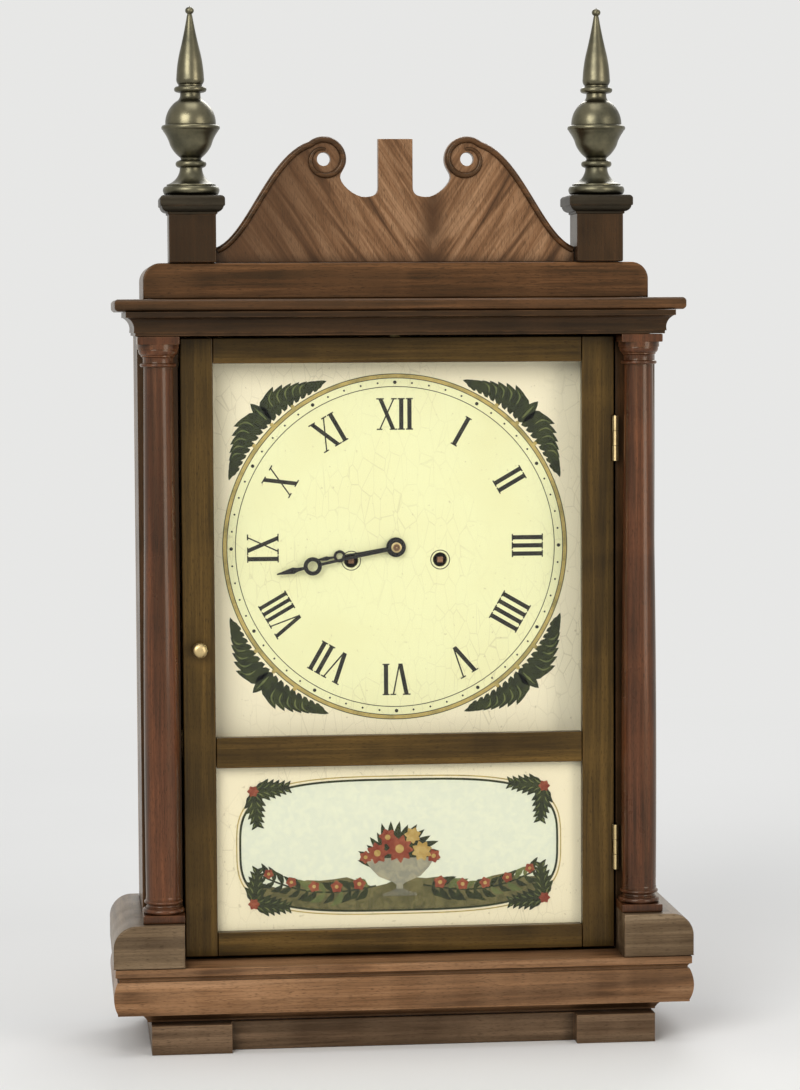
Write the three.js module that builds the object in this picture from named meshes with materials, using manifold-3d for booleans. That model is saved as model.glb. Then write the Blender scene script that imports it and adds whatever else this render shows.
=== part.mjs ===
// A pillar-and-scroll shelf clock with a weight-driven wooden movement.
// Lengths are in millimetres. +Z is up, the front faces -Y and +X is the viewer's right.
// The origin lies on the floor under the middle of the base.
import * as THREE from 'three';
import Module from 'manifold-3d';
import { mergeVertices } from 'three/addons/utils/BufferGeometryUtils.js';

const wasm = await Module();
wasm.setup();

// Clearances and overruns
const fit = 0.3;
const overrun = 4;
const weldTolerance = 1e-4;

// Heights of the case, from the floor up
const plinthHeight = 22;
const baseHeight = 44.5;
const pedestalHeight = 32.5;
const columnHeight = 436;
const bedHeight = 18;
const corniceThickness = 9;
const blockingHeight = 27;
const crestHeight = 94;
const finialPlinthHeight = 37;
const finialCapHeight = 13;

// Widths of the case
const caseWidth = 390;
const baseProjection = 23;
const plinthInset = 28;
const plinthBlockWidth = 60;
const plinthBlockReach = 12;
const plinthBoard = 20;
const stileWidth = 30;
const sideThickness = 14;
const bedProjection = 9;
const bedRelief = 7;
const corniceOverhang = 17;
const blockingInset = 5;
const blockingRound = 13;
const pedestalRound = 17;
const plinthBearing = 8;
const bottomThickness = 15;

// Depths of the case, from the front of the base moulding to the back
const columnInset = 9.5;
const doorSetback = 13;
const stileSetback = 3;
const doorThickness = 18;
const stopGap = 3.6;
const dialSetback = 8.7;
const dialThickness = 5;
const railThickness = 8;
const motionDepth = 15;
const plateThickness = 5.5;
const plateSpacing = 31;
const plateStandoff = 3;
const backThickness = 8;

// Pillars
const columnRadius = 13.5;
const columnNeckRadius = 11.3;
const columnBlock = 31;
const columnBlockHeight = 6;
const columnBaseHeight = 15;
const columnCapHeight = 17;
const columnRoll = 2.2;

// Crest, finial plinths and finials
const crestThickness = 10;
const crestSetback = 10;
const crestHeadRadius = 17;
const crestHeadOffset = 54;
const crestEyeRadius = 5;
const crestPostHalf = 13;
const crestNeckAngle = 50;
const blockingSetback = 38;
const finialPlinthWidth = 35;
const finialCapProjection = 6.5;
const finialPlinthInset = 19.5;
const finialHeight = 141;
const finialRadius = 21;
const dowelRadius = 4;
const dowelLength = 24;

// Door
const doorGap = 1.8;
const doorStileWidth = 24.2;
const doorBottomRail = 18;
const tabletHeight = 124.5;
const doorMidRail = 23;
const doorTopRail = 19;
const rebateWidth = 5;
const lipThickness = 8.7;
const glassThickness = 2;
const knobRadius = 6;
const knobLength = 13;
const latchShaftRadius = 2.2;
const latchTongueLength = 24;
const latchTongueWidth = 7;
const latchTongueThickness = 2.2;
const latchHeightShare = 0.5;

// Hinges
const hingeHeight = 34;
const hingeBarrelRadius = 2.2;
const hingePinRadius = 1;
const hingeLeafThickness = 1;
const hingeLeafDepth = 14;
const hingeStandoff = 2.4;
const hingeEndInset = 60;

// Dial and what carries it
const dialOverlap = 8;
const dialHoleRadius = 6;
const windingHoleRadius = 5.5;
const railHeight = 20;
const ledgeHeight = 6;
const ledgeLip = 3;
const buttonLength = 24;
const buttonWidth = 7;
const buttonThickness = 3;
const studRadius = 1.5;
const studHeadRadius = 3.2;
const studHeadThickness = 1.5;

// Movement: places of the arbors from the middle of the dial
const windingSpread = 34;
const windingDrop = 10;
const plateHalfWidth = 76;
const plateTop = 126;
const plateBottom = 52;
const pillarInset = 9;
const pillarRadius = 5;
const pivotRadius = 1.2;
const pivotLength = 3.5;
const arborRadius = 1.5;
const windingArborRadius = 3;
const windingSquare = 4.2;
const windingReach = 5.4;
const wheelThickness = 2.5;
const greatWheelThickness = 4;
const pinionOverlap = 1;
const endPlay = 0.5;

// Pitch radii of the wheels
const strikeGreatRadius = 26.4;
const centreWheelRadius = 28.5;
const thirdWheelRadius = 28;
const pinWheelRadius = 21.6;
const minuteWheelRadius = 22.5;

// Teeth
const greatTeeth = 48;
const greatPinionLeaves = 8;
const centreTeeth = 60;
const thirdLeaves = 6;
const thirdTeeth = 56;
const escapeLeaves = 7;
const pinWheelTeeth = 54;
const flyLeaves = 6;
const escapeTeeth = 38;
const escapeRadius = 21;
const cannonLeaves = 10;
const minuteTeeth = 30;
const minuteLeaves = 8;
const hourTeeth = 32;

// Layers between the plates, from the back face of the front plate
const centreLayer = 2.5;
const pinLayer = 7;
const thirdLayer = 13.5;
const drumLayer = 12.5;
const drumLength = 10.5;
const greatLayer = 24;

// Drums, cords, pulleys and weights
const drumRadius = 8;
const flangeRadius = 13;
const flangeThickness = 1.5;
const cordRadius = 0.9;
const pulleyRadius = 14;
const pulleyThickness = 6;
const pulleyGroove = 2;
const pulleyAxleRadius = 1.5;
const pulleyAxleLength = 15;
const pulleyInset = 61;
const pulleySlotWidth = 9;
const pulleySlotReach = 6;
const weightRadius = 20;
const weightHeight = 135;
const weightRest = 7;
const hookRadius = 4;
const hookWire = 1.3;

// Escapement and pendulum
const pendulumOffset = 16;
const vergeRise = 38;
const vergeReach = 15;
const vergeThickness = 3;
const vergeBoss = 4;
const palletClearance = 2;
const palletWidth = 3;
const crutchDrop = 62;
const crutchWidth = 1.6;
const forkGap = 1.6;
const rodRadius = 1;
const pendulumDrop = 330;
const bobRadius = 27;
const bobThickness = 9;
const ratingNutRadius = 3.2;
const ratingNutHeight = 4;
const springLength = 14;
const springWidth = 3;
const springThickness = 0.6;
const cockWidth = 9;
const cockHeight = 7;
const cockRise = 6;
const cockSlit = 2.6;
const escapeStandoff = 4;
const rodStandoff = 11;

// Strike
const strikePinCount = 9;
const strikePinRadius = 0.9;
const strikePinCircle = 15;
const strikePinLength = 3;
const pinWheelBearing = 110;
const flyBearing = 75;
const thirdBearing = 75;
const flyReach = 13;
const flyLength = 11;
const flyThickness = 1.2;
const hammerPivotX = 56;
const hammerPivotDrop = 43;
const hammerHeadRadius = 4.5;
const hammerHeadLength = 12;
const hammerWire = 0.9;
const bellRadius = 28;
const bellDepth = 22;
const bellWall = 2.2;
const bellGap = 1.5;
const bellClearance = 4;
const bellPostRadius = 4;
const bellScrewRadius = 2;
const bellNutRadius = 4.5;
const bellNutThickness = 2.5;
const bellPostLength = 6;
const bellDrop = 112;
const bellSteps = 4;

// Hands and their pipes
const minuteHandLength = 93;
const hourHandLength = 62;
const handThickness = 1.2;
const handStep = 1.8;
const minutePipeRadius = 2.4;
const hourPipeRadius = 3.9;
const minuteHubRadius = 6;
const hourHubRadius = 7.5;
const minuteAngle = 258;
const hourAngle = 261.5;
const handNutRadius = 2.6;
const handNutThickness = 1.6;
const motionThickness = 3;
const motionStandoff = 3.5;
const hourStandoff = 17;

// Shares of the sizes above, chosen by hand
const coveHeightShare = 0.24;
const coveInsetShare = 0.9;
const torusHeightShare = 0.78;
const torusLipShare = 0.1;
const bandInsetShare = 0.045;
const bedCoveShares = [0.15, 0.85];
const noseShare = 0.2;
const rollShare = 0.3;
const crestFootShare = 0.12;
const crestNeckShares = [[0.29, 0.21], [0.48, 0.85]];
const crestChinShares = [0.75, 0.66];
const crestGapShares = [0.55, 0.52];
const crestPostShares = [0.58, 0.98];
const pillarPinShare = 0.6;
const escapeRootShare = 0.84;
const escapeLeanShare = 0.2;
const tailDropShare = 0.2;
const weightNoseShare = 0.2;
const handWidthShare = 0.018;
const handRingShare = 0.075;
const handRingPlaceShare = 0.7;
const handEyeShare = 0.6;
const knobShares = [[0.7, 1], [1, 0.8], [1, 0.6], [0.5, 0.35], [0.8, 0.12], [0.8, 0]];
const bobShares = [[0.5, 0.85], [1, 0.15]];
const wheelForm = { reachShare: 0.9, depthShare: 1.2, footShare: 0.62, tipShare: 0 };
const pinionForm = { reachShare: 0.7, depthShare: 1.3, footShare: 0.4, tipShare: 0.22 };
const finialShares = [[0, 0], [0.7, 0], [1, 0.012], [1, 0.045], [0.88, 0.075], [0.6, 0.105], [0.42, 0.14],
  [0.52, 0.175], [0.42, 0.195], [0.6, 0.24], [0.84, 0.29], [1, 0.36], [0.94, 0.385], [0.8, 0.45],
  [0.62, 0.5], [0.38, 0.54], [0.58, 0.565], [0.5, 0.6], [0.4, 0.72], [0.24, 0.86], [0.08, 0.955],
  [0.13, 0.972], [0, 1]];
const columnFootShares = [0.5, 0.6, 0.9];
const columnCapShares = [0.25, 0.3, 0.6];
const shaftSwellShare = 0.33;

// Facets round turned pieces
const fineSides = 16;
const plainSides = 14;
const smallSides = 10;
const pinSides = 6;
const cordSides = 8;
const cordArcSteps = 8;
const roundSteps = 5;
const arcSegments = 5;

// Places worked out from the sizes above
const caseHalf = caseWidth / 2;
const baseHalf = caseHalf + baseProjection;
const baseWall = plinthInset + plinthBearing;
const depths = [columnInset, columnRadius, doorSetback, doorThickness, dialSetback, dialThickness, fit,
  railThickness, motionDepth, plateThickness, plateSpacing, plateThickness, plateStandoff, backThickness];
const overallDepth = depths.reduce((sum, depth) => sum + depth, 0);
const front = -overallDepth / 2;
const back = overallDepth / 2;
const columnY = front + columnInset + columnRadius;
const doorFront = columnY + doorSetback;
const doorBack = doorFront + doorThickness;
const stileFront = doorFront + stileSetback;
const stileBack = doorBack + stopGap;
const dialFront = doorBack + dialSetback;
const dialBack = dialFront + dialThickness;
const railFront = dialBack + fit;
const railBack = railFront + railThickness;
const plateFront = railBack + motionDepth;
const layersFront = plateFront + plateThickness;
const layersBack = layersFront + plateSpacing;
const plateBack = layersBack + plateThickness;
const boardFront = back - backThickness;

const baseTop = plinthHeight + baseHeight;
const pedestalTop = baseTop + pedestalHeight;
const bedBottom = pedestalTop + columnHeight;
const bedTop = bedBottom + bedHeight;
const corniceTop = bedTop + corniceThickness;
const blockingTop = corniceTop + blockingHeight;
const capBottom = blockingTop + finialPlinthHeight;
const capTop = capBottom + finialCapHeight;

const doorHalf = caseHalf - stileWidth - doorGap;
const doorBottom = baseTop + doorGap;
const doorTop = bedBottom - doorGap;
const tabletBottom = doorBottom + doorBottomRail;
const tabletTop = tabletBottom + tabletHeight;
const dialOpeningBottom = tabletTop + doorMidRail;
const dialOpeningTop = doorTop - doorTopRail;
const openingHalf = doorHalf - doorStileWidth;
const lipBack = doorFront + lipThickness;
const centreZ = (dialOpeningBottom + dialOpeningTop) / 2;

const innerHalf = caseHalf - sideThickness;
const dialBottom = dialOpeningBottom - dialOverlap;
const dialTop = dialOpeningTop + dialOverlap;
const dialHalf = openingHalf + dialOverlap;
const columnX = caseHalf - stileWidth / 2;
const blockingHalf = caseHalf - blockingInset;
const blockingFront = front + blockingSetback;
const crestFront = blockingFront + crestSetback;
const plinthX = blockingHalf - finialPlinthInset - finialPlinthWidth / 2;
const finialY = crestFront + crestThickness / 2;
const buttonFront = dialFront - fit - buttonThickness;
const buttonZ = dialTop + buttonWidth / 2 + studRadius;
const latchX = openingHalf + doorStileWidth / 2;
const latchZ = doorBottom + (doorTop - doorBottom) * latchHeightShare;
const hingeX = doorHalf + doorGap / 2;
const hingeY = doorFront - hingeStandoff;
const tongueFront = stileBack + fit;

const drumY = layersFront + drumLayer + drumLength / 2;
const pulleySpread = innerHalf - pulleyInset;
const pulleyZ = bedTop + corniceThickness / 2;
const grooveSlope = Math.hypot(pulleyThickness / 2, pulleyGroove) / (pulleyThickness / 2);
const pulleyReach = pulleyRadius - pulleyGroove + (cordRadius + fit) * grooveSlope;
const drumReach = drumRadius + cordRadius + fit;
const weightX = pulleySpread + pulleyReach;
const weightBottom = baseTop + weightRest;
const weightTop = weightBottom + weightHeight;
const cordFoot = weightTop + 2 * hookRadius + hookWire + fit;
const pendulumY = plateFront - rodStandoff;
const hourHandFront = dialFront - handStep - handThickness;
const minuteHandFront = hourHandFront - handStep - handThickness;
const greatDistance = Math.hypot(windingSpread, windingDrop);
const greatModule = 2 * greatDistance / (greatTeeth + greatPinionLeaves);
const strikeModule = 2 * strikeGreatRadius / greatTeeth;
const centreModule = 2 * centreWheelRadius / centreTeeth;
const thirdModule = 2 * thirdWheelRadius / thirdTeeth;
const pinWheelModule = 2 * pinWheelRadius / pinWheelTeeth;
const motionModule = 2 * minuteWheelRadius / minuteTeeth;
const strikeDistance = strikeModule * (greatTeeth + greatPinionLeaves) / 2;
const bellX = weightRadius + bellClearance + bellRadius - weightX;
const hammerX = bellX + bellRadius + bellGap + hammerHeadLength / 2;
const bellZ = centreZ - bellDrop;
const hammerY = boardFront - bellPostLength - bellDepth + hammerHeadRadius * 2;
const tailY = layersFront + pinLayer + wheelThickness + strikePinLength / 2;

// Places of the arbors in X and Z
const places = {};
places.centre = [0, centreZ];
places.timeDrum = [windingSpread, centreZ - windingDrop];
places.strikeDrum = [-windingSpread, centreZ - windingDrop];
places.third = polar(places.centre, centreModule * (centreTeeth + thirdLeaves) / 2, thirdBearing);
places.escape = escapePlace();
places.verge = [pendulumOffset, places.escape[1] + vergeRise];
places.pinWheel = polar(places.strikeDrum, strikeDistance, pinWheelBearing);
places.fly = polar(places.pinWheel, pinWheelModule * (pinWheelTeeth + flyLeaves) / 2, flyBearing);
places.minute = [0, centreZ - motionModule * (cannonLeaves + minuteTeeth) / 2];
places.hammer = [-hammerPivotX, centreZ - hammerPivotDrop];

function polar(from, distance, degrees) {
  const angle = THREE.MathUtils.degToRad(degrees);
  return [from[0] + distance * Math.cos(angle), from[1] + distance * Math.sin(angle)];
}

// The escape arbor stands above the third one, in line with the pendulum
function escapePlace() {
  const distance = thirdModule * (thirdTeeth + escapeLeaves) / 2;
  const aside = pendulumOffset - places.third[0];
  return [pendulumOffset, places.third[1] + Math.sqrt(distance ** 2 - aside ** 2)];
}

// Solids

function clean(geometry) {
  const bare = geometry.clone();
  bare.deleteAttribute('normal');
  bare.deleteAttribute('uv');
  return outward(mergeVertices(bare, weldTolerance));
}

// Turns every face over where the solid is inside out, as a mirrored one is
function outward(geometry) {
  const place = geometry.attributes.position;
  const index = geometry.index.array;
  const corners = [new THREE.Vector3(), new THREE.Vector3(), new THREE.Vector3()];
  let volume = 0;
  for (let i = 0; i < index.length; i += 3) {
    corners.forEach((corner, k) => corner.fromBufferAttribute(place, index[i + k]));
    volume += corners[0].dot(corners[1].cross(corners[2]));
  }
  if (volume < 0) {
    for (let i = 0; i < index.length; i += 3) {
      [index[i], index[i + 1]] = [index[i + 1], index[i]];
    }
  }
  return geometry;
}

function solidOf(geometry) {
  const merged = clean(geometry);
  const vertProperties = new Float32Array(merged.attributes.position.array);
  const triVerts = new Uint32Array(merged.index.array);
  return new wasm.Manifold(new wasm.Mesh({ numProp: 3, vertProperties, triVerts }));
}

function geometryOf(solid) {
  const mesh = solid.getMesh();
  const geometry = new THREE.BufferGeometry();
  geometry.setAttribute('position', new THREE.BufferAttribute(mesh.vertProperties, 3));
  geometry.setIndex(new THREE.BufferAttribute(mesh.triVerts, 1));
  return geometry;
}

function mirrorX(geometry) {
  return outward(clean(geometry).applyMatrix4(new THREE.Matrix4().makeScale(-1, 1, 1)));
}

function join(...geometries) {
  return geometryOf(geometries.map(solidOf).reduce((whole, solid) => whole.add(solid)));
}

function cut(body, ...tools) {
  return geometryOf(tools.map(solidOf).reduce((whole, solid) => whole.subtract(solid), solidOf(body)));
}

function common(first, second) {
  return geometryOf(solidOf(first).intersect(solidOf(second)));
}

// Shapes

function slab(x0, x1, y0, y1, z0, z1) {
  const geometry = new THREE.BoxGeometry(x1 - x0, y1 - y0, z1 - z0);
  return geometry.translate((x0 + x1) / 2, (y0 + y1) / 2, (z0 + z1) / 2);
}

function shapeOf(points) {
  return new THREE.Shape(points.map(([u, v]) => new THREE.Vector2(u, v)));
}

function extruded(shape, depth) {
  return new THREE.ExtrudeGeometry(shape, { depth, bevelEnabled: false, curveSegments: arcSegments });
}

// An outline in X and Z, carried from y0 back to y1
function frontPrism(shape, y0, y1) {
  return extruded(shape, y1 - y0).rotateX(Math.PI / 2).translate(0, y1, 0);
}

// An outline in X and Y, carried from z0 up to z1
function floorPrism(shape, z0, z1) {
  return extruded(shape, z1 - z0).translate(0, 0, z0);
}

// An outline in Y and Z, carried from x0 to x1
function sidePrism(shape, x0, x1) {
  const turn = new THREE.Matrix4().makeBasis(
    new THREE.Vector3(0, 1, 0), new THREE.Vector3(0, 0, 1), new THREE.Vector3(1, 0, 0));
  return extruded(shape, x1 - x0).applyMatrix4(turn).translate(x0, 0, 0);
}

// A solid turned about Y from pairs of radius and y
function arbor(profile, sides) {
  return new THREE.LatheGeometry(profile.map(([r, y]) => new THREE.Vector2(r, y)), sides);
}

// A solid turned about Z from pairs of radius and z
function turned(profile, sides) {
  const points = profile.map(([r, z]) => new THREE.Vector2(r, z));
  return new THREE.LatheGeometry(points, sides).rotateX(Math.PI / 2);
}

function rodY(radius, y0, y1, sides = smallSides) {
  return arbor([[0, y0], [radius, y0], [radius, y1], [0, y1]], sides);
}

function rodZ(radius, z0, z1, sides = smallSides) {
  return turned([[0, z0], [radius, z0], [radius, z1], [0, z1]], sides);
}

function rodX(radius, x0, x1, sides = smallSides) {
  return rodZ(radius, x0, x1, sides).rotateY(Math.PI / 2);
}

// A route through chosen points, one step to each
class Route extends THREE.Curve {
  constructor(points) {
    super();
    this.points = points;
  }

  getPoint(t) {
    const last = this.points.length - 1;
    const i = Math.min(Math.floor(t * last + weldTolerance), last - 1);
    return this.points[i].clone().lerp(this.points[i + 1], t * last - i);
  }

  getPointAt(u) {
    return this.getPoint(u);
  }

  getTangentAt(u) {
    const last = this.points.length - 1;
    const i = Math.round(u * last);
    const before = this.points[Math.max(i - 1, 0)];
    const here = this.points[i];
    const after = this.points[Math.min(i + 1, last)];
    const into = here.clone().sub(before).normalize();
    const out = after.clone().sub(here).normalize();
    return into.add(out).normalize();
  }
}

// A round bar or cord through points
function tube(points, radius, sides) {
  const steps = points.length - 1;
  const extrudePath = new Route(points);
  return new THREE.ExtrudeGeometry(ring(radius, sides), { steps, bevelEnabled: false, extrudePath });
}

// A round outline with flat sides, counter-clockwise
function ring(radius, sides) {
  const points = [];
  for (let i = 0; i < sides; i += 1) {
    const angle = (i / sides) * 2 * Math.PI;
    points.push([radius * Math.cos(angle), radius * Math.sin(angle)]);
  }
  return shapeOf(points);
}

function mirrored(points) {
  return points.map(([x, y]) => [-x, y]).reverse();
}

const group = new THREE.Group();

function piece(name, geometry, finish, parent = group) {
  const shown = clean(geometry);
  shown.computeVertexNormals();
  const mesh = new THREE.Mesh(shown, new THREE.MeshStandardMaterial(finish));
  mesh.name = name;
  parent.add(mesh);
}

// A piece on the right and its mirror image on the left
function addPair(name, geometry, finish, parent = group) {
  piece(`${name}_right`, geometry, finish, parent);
  piece(`${name}_left`, mirrorX(geometry), finish, parent);
}

const mahogany = { color: 0x5a3320, roughness: 0.35, metalness: 0 };
const veneer = { color: 0x7a4a2c, roughness: 0.3, metalness: 0 };
const pine = { color: 0xb08a5c, roughness: 0.7, metalness: 0 };
const oak = { color: 0x9c7546, roughness: 0.6, metalness: 0 };
const cherry = { color: 0x8c5430, roughness: 0.55, metalness: 0 };
const brass = { color: 0xb59a5a, roughness: 0.3, metalness: 1 };
const steel = { color: 0x5f6266, roughness: 0.4, metalness: 1 };
const iron = { color: 0x3a3a3c, roughness: 0.8, metalness: 0.6 };
const cream = { color: 0xf0e6c8, roughness: 0.6, metalness: 0 };
const glass = { color: 0xdfe8e4, roughness: 0.05, metalness: 0, transparent: true, opacity: 0.35 };
const black = { color: 0x15130f, roughness: 0.5, metalness: 0.2 };
const hemp = { color: 0xc9b68c, roughness: 0.9, metalness: 0 };

// Mouldings that turn the two front corners: the front profile and the side profile, mitred.
// The profile is pairs of inset and height, from the bottom up.
function mitredBlock(half, frontY, backY, z0, profile) {
  const [, last] = profile[profile.length - 1];
  const side = profile.map(([inset, z]) => [half - inset, z0 + z]);
  const across = shapeOf([...side, ...mirrored(side)]);
  const face = profile.map(([inset, z]) => [frontY + inset, z0 + z]);
  const along = shapeOf([[backY, z0 + profile[0][1]], [backY, z0 + last], ...face.reverse()]);
  return common(frontPrism(across, frontY, backY), sidePrism(along, -half, half));
}

// Points on a round stretch between two corners, bulging or hollow
function roundStretch(insetFrom, zFrom, insetTo, zTo, hollow) {
  const points = [];
  for (let i = 0; i <= roundSteps; i += 1) {
    const angle = (i / roundSteps) * Math.PI / 2;
    const a = hollow ? Math.sin(angle) : 1 - Math.cos(angle);
    const b = hollow ? 1 - Math.cos(angle) : Math.sin(angle);
    points.push([insetFrom + (insetTo - insetFrom) * a, zFrom + (zTo - zFrom) * b]);
  }
  return points;
}

// Case

function addPlinth() {
  const outer = baseHalf - plinthInset;
  const block = front + columnInset;
  const face = block + plinthBlockReach;
  const right = [
    [outer - plinthBlockWidth, face], [outer - plinthBlockWidth, block], [outer, block], [outer, back],
    [outer - plinthBoard, back], [outer - plinthBoard, face + plinthBoard]];
  piece('plinth', floorPrism(shapeOf([...mirrored(right), ...right]), 0, plinthHeight - fit), mahogany);
}

// The base is a moulding round three sides and a board on top of it, hollow below
function addBaseMoulding() {
  const lip = plinthInset * torusLipShare;
  const edge = plinthInset * bandInsetShare;
  const coveTop = baseHeight * coveHeightShare;
  const torusTop = baseHeight * torusHeightShare;
  const belly = (coveTop + torusTop) / 2;
  const profile = [
    ...roundStretch(plinthInset * coveInsetShare, 0, lip, coveTop, true),
    [0, (coveTop + belly) / 2], [0, belly], [edge, (belly + torusTop) / 2], [lip, torusTop],
    [lip, torusTop + edge], [edge, torusTop + lip], [edge, baseHeight]];
  const outer = mitredBlock(baseHalf, front, back, plinthHeight, profile);
  const well = slab(baseWall - baseHalf, baseHalf - baseWall, front + baseWall, back + overrun,
    plinthHeight - overrun, baseTop - bottomThickness);
  piece('base_moulding', cut(outer, well), veneer);
}

function addPedestals() {
  const inner = caseHalf - stileWidth;
  const round = roundStretch(0, pedestalHeight - pedestalRound, pedestalRound, pedestalHeight, false);
  const outline = [[inner, baseTop + fit], [baseHalf, baseTop + fit],
    ...round.map(([inset, z]) => [baseHalf - inset, baseTop + z]), [inner, pedestalTop]];
  const room = slab(inner - overrun, caseHalf + fit, stileFront - fit, back + overrun, baseTop - overrun,
    pedestalTop + overrun);
  addPair('pedestal', cut(frontPrism(shapeOf(outline), front, back), room), veneer);
}

function sideBoard() {
  const board = slab(innerHalf, caseHalf, stileFront, boardFront - fit, baseTop + fit, bedTop - fit);
  const stile = slab(caseHalf - stileWidth, caseHalf, stileFront, stileBack, baseTop + fit, bedBottom - fit);
  const headroom = slab(innerHalf - overrun, caseHalf + overrun, stileFront - overrun, stileBack + fit,
    bedBottom - fit, bedTop + overrun);
  return cut(join(board, stile), headroom);
}

function hingeFeet() {
  return [doorBottom + hingeEndInset, doorTop - hingeEndInset - hingeHeight];
}

// The recess in the right stile that takes a hinge leaf
function stileRecess(z) {
  const edge = caseHalf - stileWidth;
  return slab(edge - overrun, edge + hingeLeafThickness + fit, stileFront - overrun,
    doorFront + hingeLeafDepth + fit, z - fit, z + hingeHeight + fit);
}

function addSides() {
  piece('case_side_right', cut(sideBoard(), ...hingeFeet().map(stileRecess)), veneer);
  piece('case_side_left', mirrorX(sideBoard()), veneer);
}

function addBackboard() {
  const board = slab(-caseHalf, caseHalf, boardFront, back, baseTop + fit, bedTop - fit);
  const hole = rodY(bellScrewRadius + fit, boardFront - overrun, back + overrun);
  piece('backboard', cut(board, hole.translate(bellX, 0, bellZ)), pine);
}

// A rounded ring on a turned profile
function roll(z, height, radius) {
  const edge = height * rollShare;
  return [[radius - edge, z], [radius, z + edge], [radius, z + height - edge], [radius - edge, z + height]];
}

function columnProfile(bottom, top) {
  const wide = columnRadius + columnRoll;
  const foot = bottom + columnBaseHeight;
  const head = top - columnCapHeight;
  const [rollTop, ringFoot, ringTop] = columnFootShares.map((share) => bottom + columnBaseHeight * share);
  const [ringHead, neckTop, capFoot] = columnCapShares.map((share) => head + columnCapHeight * share);
  return [[0, bottom], ...roll(bottom, rollTop - bottom, wide),
    ...roll(ringFoot, ringTop - ringFoot, columnRadius + columnRoll / 2), [columnRadius, foot],
    [columnRadius, foot + (head - foot) * shaftSwellShare], [columnNeckRadius, head],
    ...roll(head, ringHead - head, columnRadius), [columnNeckRadius, neckTop], [columnNeckRadius, capFoot],
    ...roll(capFoot, top - capFoot, wide), [0, top]];
}

function addColumns() {
  const half = columnBlock / 2;
  const bottom = pedestalTop + fit;
  const top = bedBottom - fit;
  const foot = slab(-half, half, -half, half, bottom, bottom + columnBlockHeight);
  const head = slab(-half, half, -half, half, top - columnBlockHeight, top);
  const shaft = turned(columnProfile(bottom + columnBlockHeight / 2, top - columnBlockHeight / 2), fineSides);
  addPair('column', join(shaft, foot, head).translate(columnX, columnY, 0), mahogany);
}

function addBedMoulding() {
  const half = caseHalf + bedProjection;
  const cove = roundStretch(bedRelief, bedHeight * bedCoveShares[0], 0, bedHeight * bedCoveShares[1], true);
  const profile = [[bedRelief, 0], ...cove, [0, bedHeight - fit]];
  const outer = mitredBlock(half, columnY - columnBlock / 2 - bedRelief - fit, back, bedBottom, profile);
  const room = slab(-caseHalf - fit, caseHalf + fit, stileBack, back + overrun, bedBottom - overrun,
    bedTop + overrun);
  piece('bed_moulding', cut(outer, room), veneer);
}

// The case top holds the two pulleys in slots, each on a pin that lies in the board
function addCorniceBoard() {
  const nose = corniceThickness * noseShare;
  const profile = [[nose, 0], [0, nose], [0, corniceThickness - nose], [nose, corniceThickness]];
  const board = mitredBlock(caseHalf + corniceOverhang, front, back, bedTop, profile);
  const half = pulleyRadius + pulleySlotReach;
  const slot = slab(-half, half, -pulleySlotWidth / 2, pulleySlotWidth / 2, -corniceThickness,
    corniceThickness);
  const pin = rodY(pulleyAxleRadius + fit, -pulleyAxleLength / 2 - fit, pulleyAxleLength / 2 + fit);
  const tools = [];
  for (const side of [-1, 1]) {
    tools.push(slot.clone().translate(side * pulleySpread, drumY, pulleyZ));
    tools.push(pin.clone().translate(side * pulleySpread, drumY, pulleyZ));
  }
  piece('cornice_board', cut(board, ...tools), mahogany);
}

function addBlockingCourse() {
  const round = roundStretch(0, blockingHeight - blockingRound, blockingRound, blockingHeight, false);
  const side = [[blockingHalf, corniceTop + fit],
    ...round.map(([inset, z]) => [blockingHalf - inset, corniceTop + z])];
  const outer = frontPrism(shapeOf([...side, ...mirrored(side)]), blockingFront, back);
  const well = slab(finialPlinthInset + finialPlinthWidth - blockingHalf,
    blockingHalf - finialPlinthInset - finialPlinthWidth, crestFront + crestThickness + fit, back + overrun,
    corniceTop - overrun, blockingTop + overrun);
  piece('blocking_course', cut(outer, well), veneer);
}

// Half of the crest, from the foot beside the finial plinth to the middle post
function crestHalf() {
  const foot = plinthX - finialPlinthWidth / 2 - fit;
  const headZ = crestHeight - crestHeadRadius;
  const shape = new THREE.Shape();
  shape.moveTo(-overrun, 0);
  shape.lineTo(foot, 0);
  shape.lineTo(foot, crestHeight * crestFootShare);
  const bend = crestNeckShares.map(([u, v]) => [foot + (crestHeadOffset - foot) * u, crestHeight * v]);
  const [neckX, neckZ] = polar([crestHeadOffset, headZ], crestHeadRadius, crestNeckAngle);
  shape.bezierCurveTo(...bend[0], ...bend[1], neckX, neckZ);
  const neckTurn = THREE.MathUtils.degToRad(crestNeckAngle);
  shape.absarc(crestHeadOffset, headZ, crestHeadRadius, neckTurn, Math.PI, false);
  const [chinX, chinZ] = crestChinShares.map((share) => crestHeadRadius * share);
  const [gapX, gapZ] = crestGapShares;
  const [postFoot, postTop] = crestPostShares.map((share) => crestHeight * share);
  shape.lineTo(crestHeadOffset - chinX, headZ - chinZ);
  shape.lineTo(crestPostHalf + crestHeadRadius * gapX, crestHeight * gapZ);
  shape.lineTo(crestPostHalf, postFoot);
  shape.lineTo(crestPostHalf, postTop);
  shape.lineTo(-overrun, postTop);
  return shape;
}

function addCrest() {
  const base = frontPrism(crestHalf(), 0, crestThickness);
  const eye = rodY(crestEyeRadius, -overrun, crestThickness + overrun, plainSides);
  eye.translate(crestHeadOffset, 0, crestHeight - crestHeadRadius);
  const half = cut(base, eye);
  const crest = join(half, mirrorX(half.clone()));
  piece('crest', crest.translate(0, crestFront, blockingTop + fit), veneer);
}

function finialProfile() {
  return finialShares.map(([r, h]) => [finialRadius * r, capTop + fit + (finialHeight - fit) * h]);
}

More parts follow.
